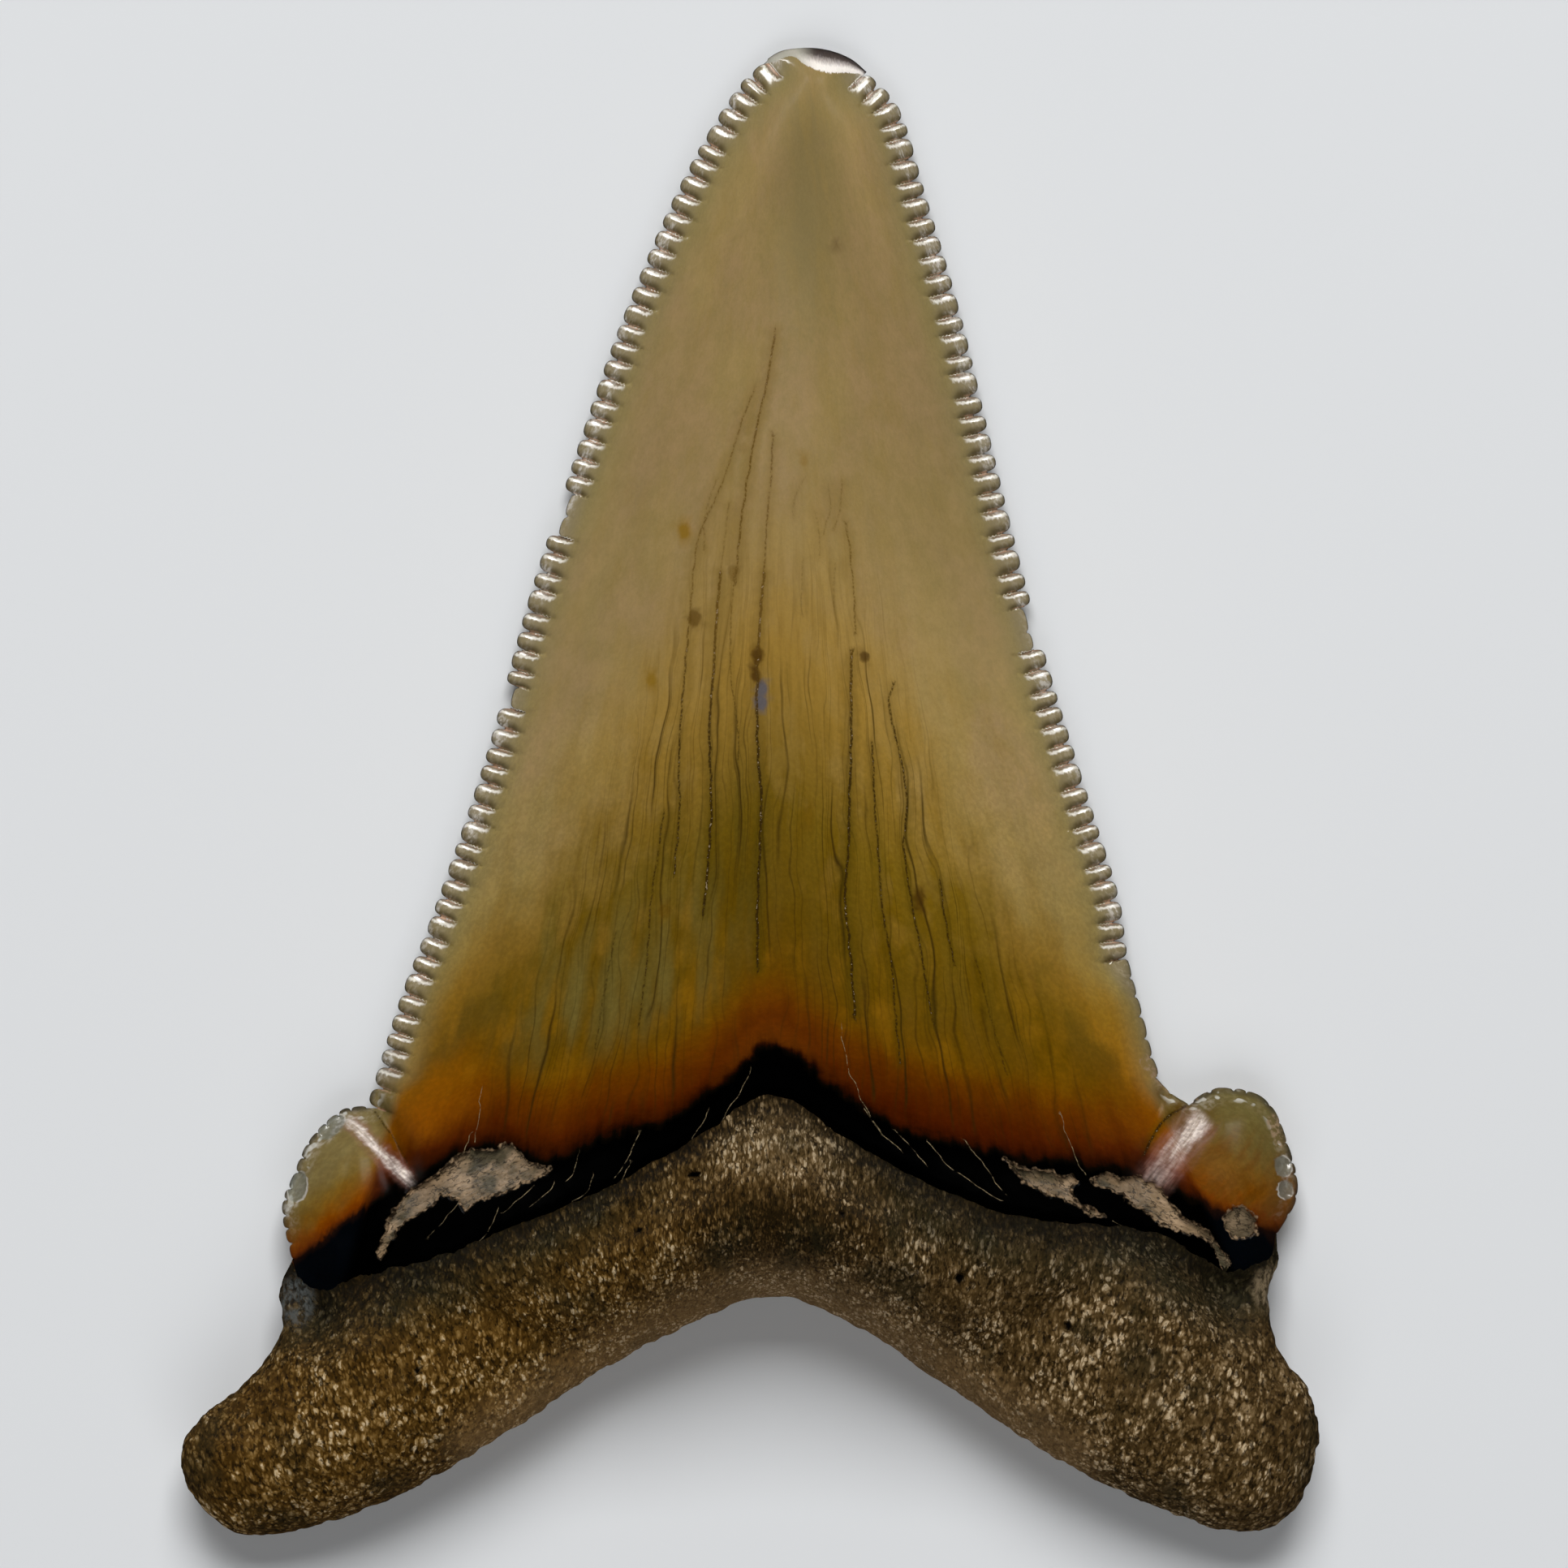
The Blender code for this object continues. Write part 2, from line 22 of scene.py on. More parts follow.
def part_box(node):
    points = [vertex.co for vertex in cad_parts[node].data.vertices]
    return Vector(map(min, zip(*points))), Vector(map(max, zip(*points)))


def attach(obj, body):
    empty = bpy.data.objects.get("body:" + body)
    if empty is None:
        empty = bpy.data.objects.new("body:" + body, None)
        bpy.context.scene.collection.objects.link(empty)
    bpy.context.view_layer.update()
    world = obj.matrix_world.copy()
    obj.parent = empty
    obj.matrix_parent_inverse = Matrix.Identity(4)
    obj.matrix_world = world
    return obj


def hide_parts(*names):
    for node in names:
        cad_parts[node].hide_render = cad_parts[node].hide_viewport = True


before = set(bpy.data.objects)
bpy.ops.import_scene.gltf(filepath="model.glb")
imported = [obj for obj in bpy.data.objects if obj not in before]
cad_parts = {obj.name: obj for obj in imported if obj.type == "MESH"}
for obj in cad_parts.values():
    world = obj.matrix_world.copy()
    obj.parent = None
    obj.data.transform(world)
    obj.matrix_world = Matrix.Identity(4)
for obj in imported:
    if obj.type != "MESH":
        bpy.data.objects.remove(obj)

logging.basicConfig(level=logging.INFO, format="%(message)s")
log = logging.getLogger("tooth")

MM = 0.001
SEED = 7
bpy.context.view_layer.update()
# The share of white that a level surface shows under the lights
LIGHT_SHARE = 0.95

Array = np.ndarray
Line = tuple[tuple[float, float], ...]
Colour = tuple[float, float, float]
Ramp = tuple[tuple[float, Colour], ...]


# Small tools


def smooth_curve(points: Line, step: float = 0.25) -> Array:
    """Runs a smooth curve through a few points.

    Args:
        points: the points, in order.
        step: how far apart the points of the curve are, in mm.

    Returns:
        The curve's points, one row each.
    """
    knots = [Vector(p) for p in points]
    last = len(knots) - 1
    ways = [(knots[min(i + 1, last)] - knots[max(i - 1, 0)]).normalized() for i in range(last + 1)]
    curve: list[Vector] = []
    for i in range(last):
        reach = (knots[i + 1] - knots[i]).length
        count = max(2, round(reach / step) + 1)
        handles = (knots[i] + ways[i] * reach / 3, knots[i + 1] - ways[i + 1] * reach / 3)
        curve += interpolate_bezier(knots[i], *handles, knots[i + 1], count)[:-1]
    return np.array([tuple(p) for p in curve + [knots[last]]])


def eased(value: Array, low: float, high: float) -> Array:
    """0 up to low, 1 from high on, and a soft rise between them."""
    t = np.clip((value - low) / (high - low), 0, 1)
    return t * t * (3 - 2 * t)


def height_of(line: Line, x: Array) -> Array:
    """The y of a curve that runs from left to right, at each x."""
    curve = smooth_curve(line)
    return np.interp(x, curve[:, 0], curve[:, 1])


def distance_to(line: Array, x: Array, y: Array) -> Array:
    """How far each point is from a line of points.

    Args:
        line: the line's points, one row each.
        x: the points' x.
        y: the points' y.

    Returns:
        One distance for each point.
    """
    nearest = np.full(np.shape(x), np.inf)
    for (ax, ay), (bx, by) in zip(line[:-1], line[1:]):
        length = max((bx - ax) ** 2 + (by - ay) ** 2, 1e-12)
        t = np.clip(((x - ax) * (bx - ax) + (y - ay) * (by - ay)) / length, 0, 1)
        nearest = np.minimum(nearest, (x - ax - t * (bx - ax)) ** 2 + (y - ay - t * (by - ay)) ** 2)
    return np.sqrt(nearest)


def inside(polygon: Array, x: Array, y: Array) -> Array:
    """Which points lie within a closed polygon.

    Args:
        polygon: its corners, one row each.
        x: the points' x.
        y: the points' y.

    Returns:
        True for each point within it.
    """
    hits = np.zeros(np.shape(x), bool)
    for (ax, ay), (bx, by) in zip(polygon, np.roll(polygon, -1, axis=0)):
        if ay != by:
            crosses = (ay > y) != (by > y)
            hits ^= crosses & (x < ax + (y - ay) * (bx - ax) / (by - ay))
    return hits


def grid(step: float, low: tuple[float, float], high: tuple[float, float]) -> Array:
    """Points of a triangular grid over a rectangle.

    Args:
        step: how far apart the points are, in mm.
        low: the rectangle's lower left corner.
        high: its upper right corner.

    Returns:
        The points, one row each.
    """
    rows = np.arange(low[1], high[1], step * math.sqrt(0.75))
    columns = np.arange(low[0], high[0], step)
    return np.array([(x + step / 2 * (k % 2), y) for k, y in enumerate(rows) for x in columns])


def value_noise(x: Array, y: Array, seed: int) -> Array:
    """Smooth random heights from -1 to 1, whose bumps are about a unit across.

    Args:
        x: the points' x.
        y: the points' y.
        seed: which random heights.

    Returns:
        One height for each point.
    """
    table = np.random.default_rng(seed).uniform(-1, 1, (256, 256))
    left, low = np.floor(x).astype(int), np.floor(y).astype(int)
    u, v = x - left, y - low
    u, v = u * u * (3 - 2 * u), v * v * (3 - 2 * v)
    a, b = table[left % 256, low % 256], table[(left + 1) % 256, low % 256]
    c, d = table[left % 256, (low + 1) % 256], table[(left + 1) % 256, (low + 1) % 256]
    return (a * (1 - u) + b * u) * (1 - v) + (c * (1 - u) + d * u) * v


def layered_noise(x: Array, y: Array, seed: int, layers: int = 3) -> Array:
    """Several value noises on top of each other, each half as large and half as strong."""
    total = sum(value_noise(x * 2**k, y * 2**k, seed + k) / 2**k for k in range(layers))
    return total / (2 - 0.5 ** (layers - 1))


def walk(curve: Array, distances: Array) -> tuple[Array, Array]:
    """The points at some distances along a curve, and the way to its left at each.

    Args:
        curve: the curve's points.
        distances: how far along it to look, in mm.

    Returns:
        The points and the unit vectors that point to the left of the curve.
    """
    along = length_along(curve)
    before = np.clip(distances - 0.3, 0, along[-1])
    after = np.clip(distances + 0.3, 0, along[-1])
    way = np.stack([np.interp(after, along, c) - np.interp(before, along, c) for c in curve.T], axis=1)
    at = np.stack([np.interp(distances, along, c) for c in curve.T], axis=1)
    side = np.stack([-way[:, 1], way[:, 0]], axis=1)
    return at, side / np.linalg.norm(side, axis=1, keepdims=True)


def length_along(curve: Array) -> Array:
    """How far along the curve each of its points is."""
    return np.concatenate([[0], np.cumsum(np.hypot(*np.diff(curve, axis=0).T))])


def gaps(points: Array, taken: Array) -> Array:
    """How far each point is from the nearest one that is taken.

    Args:
        points: the points to judge, one row each.
        taken: the points that are there already.

    Returns:
        One distance for each point.
    """
    tree = kdtree.KDTree(len(taken))
    for k, (x, y) in enumerate(taken):
        tree.insert((x, y, 0), k)
    tree.balance()
    return np.array([tree.find((x, y, 0))[2] for x, y in points])


def close_to(line: Array, margin: float, x: Array, y: Array) -> Array:
    """Which points lie within a margin of the rectangle round a line."""
    low, high = line.min(0) - margin, line.max(0) + margin
    return (x > low[0]) & (x < high[0]) & (y > low[1]) & (y < high[1])


def new_object(name: str, data: bpy.types.ID) -> bpy.types.Object:
    """Puts a new object into the scene.

    Args:
        name: its name.
        data: its mesh, light or camera.

    Returns:
        The object.
    """
    made = bpy.data.objects.new(name, data)
    bpy.context.scene.collection.objects.link(made)
    return made


# The form of the tooth


@dataclass(frozen=True)
class Dome:
    """An oval swelling on a face: its middle, the way it is long, its half sizes and height, in mm."""

    middle: tuple[float, float]
    lean: float
    half_long: float
    half_wide: float
    height: float

    def at(self, x: Array, y: Array) -> Array:
        """The share of the dome's height at each point, from 1 in its middle to 0 at its rim."""
        across = (x - self.middle[0]) * math.cos(self.lean) - (y - self.middle[1]) * math.sin(self.lean)
        along = (x - self.middle[0]) * math.sin(self.lean) + (y - self.middle[1]) * math.cos(self.lean)
        return np.clip(1 - (across / self.half_wide) ** 2 - (along / self.half_long) ** 2, 0, None)


@dataclass
class Form:
    """The tooth in plan, with the smooth heights of its two faces, as its solid has them."""

    left_edge: Line = (
        (0.7, 34.6), (-0.4, 33.6), (-2, 31.2), (-3.3, 28.8), (-4.55, 26.1), (-6.6, 21),
        (-8.65, 14.9), (-10.5, 9.2), (-12.6, 1.5), (-15.1, -5.9), (-16.55, -9.65), (-18.2, -15))
    left_cusplet: Line = (
        (-18.2, -15), (-19.4, -15.2), (-20.9, -16.6), (-21.65, -18.2), (-22.2, -19.8), (-21.7, -22.3))
    root: Line = (
        (-21.7, -22.3), (-22.3, -23.7), (-22.25, -25.8), (-24, -28.05), (-26.4, -30.05), (-26.95, -31.9),
        (-26.1, -33.95), (-23.8, -35.3), (-18.2, -34.1), (-12.5, -31.1), (-6.7, -27.3), (-3.1, -25.45),
        (0.9, -24), (4.4, -25.1), (9.2, -28.2), (14.6, -31.8), (20.9, -34.65), (23.9, -35.2),
        (25.9, -33.9), (26.9, -30.7), (26.4, -28.3), (25.1, -26.6), (24.5, -24.2), (25, -22.2),
        (24.9, -21.1))
    right_cusplet: Line = (
        (24.9, -21.1), (25.9, -19.2), (25.5, -16.9), (24.4, -14.7), (22.2, -14.15), (20.9, -14.75))
    right_edge: Line = (
        (20.9, -14.75), (20.2, -14.35), (19.35, -13.4), (18.6, -10.7), (17.9, -8), (17.5, -5.2),
        (16.25, -1.1), (14.4, 4.9), (12.8, 10.75), (11.35, 16.7), (9.95, 22.6), (8.25, 28.4),
        (7, 32.4), (5.5, 34.05))
    chip: Line = (
        (5.5, 34.05), (4.8, 34.65), (3.85, 35.05), (2.9, 35.2), (1.9, 35.15), (1.3, 35), (0.7, 34.6))
    left_below: Line = ((-19.4, -19.5), (-21, -26))
    right_below: Line = ((20.7, -18.5), (22.4, -26))
    band_top: Line = (
        (-21.6, -22.4), (-19.5, -20.7), (-17.6, -19.5), (-15.5, -18.3), (-12.2, -16.9), (-9.4, -17.5),
        (-6.6, -16.4), (-4.4, -15.9), (-2.3, -14.8), (-0.4, -13.2), (0.96, -12.3), (2.5, -13.1),
        (4.2, -14.4), (6.1, -15.6), (8.4, -16.5), (12, -17.4), (18.2, -18.3), (21.9, -20.2), (24.6, -21.5))
    band_foot: Line = (
        (-21.7, -22.9), (-20.3, -23.7), (-18.9, -23.2), (-14.4, -21.8), (-11.2, -20.3), (-7, -18.5),
        (-2.3, -15.9), (-0.3, -14.5), (0.9, -14.05), (2.1, -14.4), (3.9, -15.7), (8.2, -18.1),
        (12, -19.7), (16.9, -20.3), (19.3, -20.8), (22.3, -22.7), (23.6, -22.6), (24.6, -22))
    labial_foot: Line = (
        (-21.8, -22.6), (-17.5, -22.3), (-11, -20.6), (-4.5, -18.5), (1, -17.7), (6.5, -18.6),
        (13, -20.6), (19.5, -21.9), (24.7, -21.9))
    creases: tuple[Line, ...] = (
        ((-17.9, -14.9), (-16.9, -16.4), (-15.9, -18.7)), ((20.7, -15), (19.8, -16.5), (18.6, -18.2)))
    cusplet_domes: tuple[Dome, ...] = (
        Dome((-19.0, -18.9), -0.25, 5.2, 3.5, 2.9), Dome((22.0, -18.5), 0.05, 5.2, 4.0, 2.9))
    # Where the cusplets' lower ends run on into the root
    corner_domes: tuple[Dome, ...] = (
        Dome((-20.4, -22.6), 0.3, 2.4, 2.4, 1.3), Dome((23.6, -22.9), -0.3, 2.2, 2.2, 0.9))
    root_dome: Dome = Dome((1.0, -18.6), 0.0, 9.5, 17.0, 4.6)
    labial_hollow: Dome = Dome((1.0, -19.5), 0.0, 4.8, 13.0, 0.9)
    rim_heights: Line = (
        (-35.5, 3.3), (-30, 3.9), (-25, 4), (-20, 2.5), (-15, 1.5), (0, 1.2), (30, 1),
        (35.5, 0.7))
    crown_at_tip: float = 1.2
    crown_gain: float = 9.9
    crown_reach: float = 24.0
    roundness: float = 0.85
    steepest: float = 1.35
    chip_slope: float = 1.15
    crease_depth: float = 0.9
    crease_width: float = 0.65
    bevel: float = 6.0
    lobe_height: float = 8.6
    lobe_end_height: float = 7.0
    lobe_middle: float = 0.5
    lobe_taper: tuple[float, float] = (17.0, 27.0)
    blend_width: float = 4.0
    root_rounding: float = 4.6
    back_rounding: float = 3.4
    lump_size: tuple[float, float] = (2.2, 1.5)
    lump_height: float = 0.22
    labial_lump_height: float = 0.2
    band_sink: float = 0.14
    # Where the solid's own frame has its origin, in the plan's
    middle: tuple[float, float] = (-0.0049, -0.0464)

    def __post_init__(self) -> None:
        """Works out the curves that every height needs."""
        parts = (self.left_edge, self.left_cusplet, self.root, self.right_cusplet, self.right_edge, self.chip)
        self.outline = np.concatenate([smooth_curve(part) for part in parts])
        self.sound_outline = np.concatenate([smooth_curve(part) for part in parts[:-1]])
        self.chip_curve = smooth_curve(self.chip)
        self.rim = smooth_curve(self.rim_heights)
        self.levels = np.arange(-30.0, 36.0, 0.1)
        self.sides = [self.softened(self.left_edge + self.left_below),
                      self.softened(self.right_below[::-1] + self.right_edge[2:])]

    def softened(self, line: Line) -> Array:
        """The x of a side at each level, with its small kinks ironed out.

        Args:
            line: the side, from the tip down or from the foot up.

        Returns:
            One x for each of the levels.
        """
        curve = smooth_curve(line, 0.1)
        curve = curve[np.argsort(curve[:, 1])]
        raw = np.interp(self.levels, curve[:, 1], curve[:, 0])
        spread = np.exp(-0.5 * (np.arange(-40, 41) / 14.0) ** 2)
        padded = np.pad(raw, 40, mode="reflect", reflect_type="odd")
        return np.convolve(padded, spread / spread.sum(), mode="valid")

    def across(self, x: Array, y: Array) -> Array:
        """Where each point lies across the crown, from -1 on its left edge to 1 on its right."""
        left, right = (np.interp(y, self.levels, side) for side in self.sides)
        return np.clip((2 * x - left - right) / (right - left), -1, 1)

    def depth(self, x: Array, y: Array) -> Array:
        """How far each point is from the outline."""
        return distance_to(self.outline, x, y)

    def rim_height(self, y: Array) -> Array:
        """The height at which the two faces meet."""
        return np.interp(y, self.rim[:, 0], self.rim[:, 1])

    def wobble(self, x: Array, y: Array) -> Array:
        """How the ends of the enamel stray from their lines, in mm."""
        return 0.16 * layered_noise(x * 1.3, y * 1.3, 11) + 0.05 * value_noise(x * 6, y * 6, 14)

    def below_top(self, x: Array, y: Array) -> Array:
        """How far each point is below the line where the black band begins."""
        return height_of(self.band_top, x) - y

    def below_foot(self, x: Array, y: Array) -> Array:
        """How far each point is below the foot of the band, where the root begins."""
        return height_of(self.band_foot, x) - y + self.wobble(x, y)

    def below_labial_foot(self, x: Array, y: Array) -> Array:
        """How far each point is below the end of the enamel on the labial face."""
        return height_of(self.labial_foot, x) - y + self.wobble(x, y)

    def lumps(self, x: Array, y: Array, layer: float) -> Array:
        """The uneven surface of the root, as heights between about -1 and 1."""
        wide, high = self.lump_size
        return np.array([noise.noise(Vector((px / wide, py / high, layer))) for px, py in zip(x, y)])

    def front(self, x: Array, y: Array) -> Array:
        """The height of the lingual face, without the steps at the band.

        Args:
            x: Across.
            y: Up the tooth.

        Returns:
            The heights in mm.
        """
        depth = self.depth(x, y)
        rim = self.rim_height(y)
        full = self.crown_at_tip + self.crown_gain * (1 - np.exp(-(35 - y) / self.crown_reach))
        crown = full * (1 - self.across(x, y) ** 2) ** self.roundness
        for dome in self.cusplet_domes:
            crown = np.maximum(crown, 0.6 * crown + dome.height * dome.at(x, y))
        for crease in self.creases:
            away = distance_to(smooth_curve(crease), x, y)
            crown = crown - self.crease_depth * np.exp(-((away / self.crease_width) ** 2))
        crown = np.maximum(crown, 0)
        for dome in self.corner_domes:
            crown = crown + dome.height * dome.at(x, y) ** 2
        crown = self.lesser(crown, self.steepest * depth, 0.25)
        crown = np.minimum(crown, self.chip_slope * distance_to(self.chip_curve, x, y))
        taper = eased(abs(x - self.lobe_middle), *self.lobe_taper)
        root = self.lobe_height + (self.lobe_end_height - self.lobe_height) * taper
        root = root + self.root_dome.height * self.root_dome.at(x, y) - rim
        round_edge = np.sqrt(1 - (1 - np.clip(depth / self.root_rounding, 0, 1)) ** 2)
        share = eased(height_of(self.band_foot, x) - y, 0, self.blend_width)
        height = rim + crown * (1 - share) + np.maximum(root * round_edge, 0) * share
        return height + self.lumps(x, y, 0.0) * self.lump_height * share * np.clip(depth / 2, 0, 1)

    def back(self, x: Array, y: Array) -> Array:
        """The height of the labial face, flat at 0 down its middle and on both lobes.

        Args:
            x: Across.
            y: Up the tooth.

        Returns:
            The heights in mm.
        """
        depth = self.depth(x, y)
        rim = self.rim_height(y)
        crown = rim * np.clip(1 - depth / self.bevel, 0, 1) ** 2
        hollow = self.labial_hollow.height * self.labial_hollow.at(x, y) ** 2
        hollow = hollow + self.labial_lump_height * np.clip(self.lumps(x, y, 9.0) - 0.1, 0, None)
        round_edge = np.sqrt(1 - (1 - np.clip(depth / self.back_rounding, 0, 1)) ** 2)
        root = rim - (rim - hollow) * round_edge
        share = eased(height_of(self.labial_foot, x) - y, 0, self.blend_width)
        return np.maximum(crown * (1 - share) + root * share, 0)

    @staticmethod
    def lesser(a: Array, b: Array, width: float) -> Array:
        """The lesser of two heights, with the corner between them rounded over a width."""
        near = np.clip(0.5 + 0.5 * (b - a) / width, 0, 1)
        return b * (1 - near) + a * near - width * near * (1 - near)


# The outline, with its serrations


@dataclass
class Stations:
    """Places round the outline, as arrays: the smooth outline's points, the way in from each, how deep
    the real edge is cut back there, and where each is across its lobe, from -1 to 1."""

    at: Array
    inward: Array
    cut: Array
    lobe: Array
    relief: Array

    @staticmethod
    def joined(parts: list["Stations"]) -> "Stations":
        """All the parts as one run of stations."""
        return Stations(*(np.concatenate([getattr(p, n) for p in parts])
                          for n in ("at", "inward", "cut", "lobe", "relief")))

    def at_depth(self, depth: float) -> Array:
        """The points at a distance within the real edge."""
        return self.at + self.inward * (self.cut + depth)[:, None]


@dataclass
class Serration:
    """A stretch of cutting edge: rounded lobes about a millimetre apart, cut apart by narrow notches."""

    points: Line
    pitch: float = 0.96
    notch: float = 0.43
    wear: tuple[tuple[float, float, float], ...] = ()
    low_from: float | None = None
    low_share: float = 0.35
    first_share: float = 1.0
    relief: float = 1.0
    pitch_spread: float = 0.15
    depth_spread: float = 0.2
    shares: tuple[float, ...] = (
        -1, -0.955, -0.91, -0.87, -0.8, -0.66, -0.45, -0.22, 0, 0.22, 0.45, 0.66, 0.8, 0.87, 0.91, 0.955)
    finger: float = 0.89
    squareness: float = 2.5

    def profile(self, lobe: Array) -> Array:
        """How far the edge is cut back across a lobe, from 0 at its crest to 1 in the notches."""
        reach = np.clip(abs(lobe) / self.finger, 0, 1)
        rounded = 1 - (1 - reach**self.squareness) ** (1 / self.squareness)
        return np.where(abs(lobe) >= self.finger, 1.0, rounded)

    def stations(self) -> Stations:
        """The stations of this stretch, with each lobe a little unlike the next."""
        curve = smooth_curve(self.points)
        length = length_along(curve)[-1]
        rng = random.Random(SEED + len(self.points))
        count = round(length / self.pitch)
        starts = [length * (k + rng.uniform(-self.pitch_spread, self.pitch_spread) * (k > 0)) / count
                  for k in range(count)]
        lobe = np.array(self.shares)
        parts = []
        for start, end in zip(starts, starts[1:] + [length]):
            at, inward = walk(curve, start + (end - start) * (lobe + 1) / 2)
            middle_y = walk(curve, np.array([(start + end) / 2]))[0][0, 1]
            size = self.notch * (1 + rng.uniform(-self.depth_spread, self.depth_spread))
            if self.low_from is not None and middle_y < self.low_from:
                size *= self.low_share
            back = max((b for middle, half, b in self.wear if abs(middle_y - middle) < half), default=0.0)
            size *= 1 - 0.6 * (back > 0)
            cut = back + size * self.profile(lobe)
            if not parts:
                cut = np.where(lobe < 0, np.minimum(cut, back + size * self.first_share), cut)
            relief = np.full(len(lobe), self.relief * min(1.1, (size / self.notch) ** 2))
            parts.append(Stations(at, inward, cut, lobe, relief))
        return Stations.joined(parts)


def plain_stretch(points: Line, step: float, ragged: float = 0.0) -> Stations:
    """Stations along a stretch with no serrations.

    Args:
        points: the stretch.
        step: how far apart the stations are, in mm.
        ragged: how far small dents go in from it, in mm.

    Returns:
        The stations.
    """
    curve = smooth_curve(points)
    length = length_along(curve)[-1]
    count = max(2, round(length / step))
    at, inward = walk(curve, np.arange(count) * length / count)
    dents = np.clip(layered_noise(at[:, 0] * 1.6, at[:, 1] * 1.6, 5, 4) + 0.35, 0, 1.3) * ragged
    ends = np.clip(np.minimum(np.arange(count), count - np.arange(count)) * step / 0.8, 0, 1)
    none = np.zeros(count)
    return Stations(at, inward, dents * ends, none, none)


# Skins


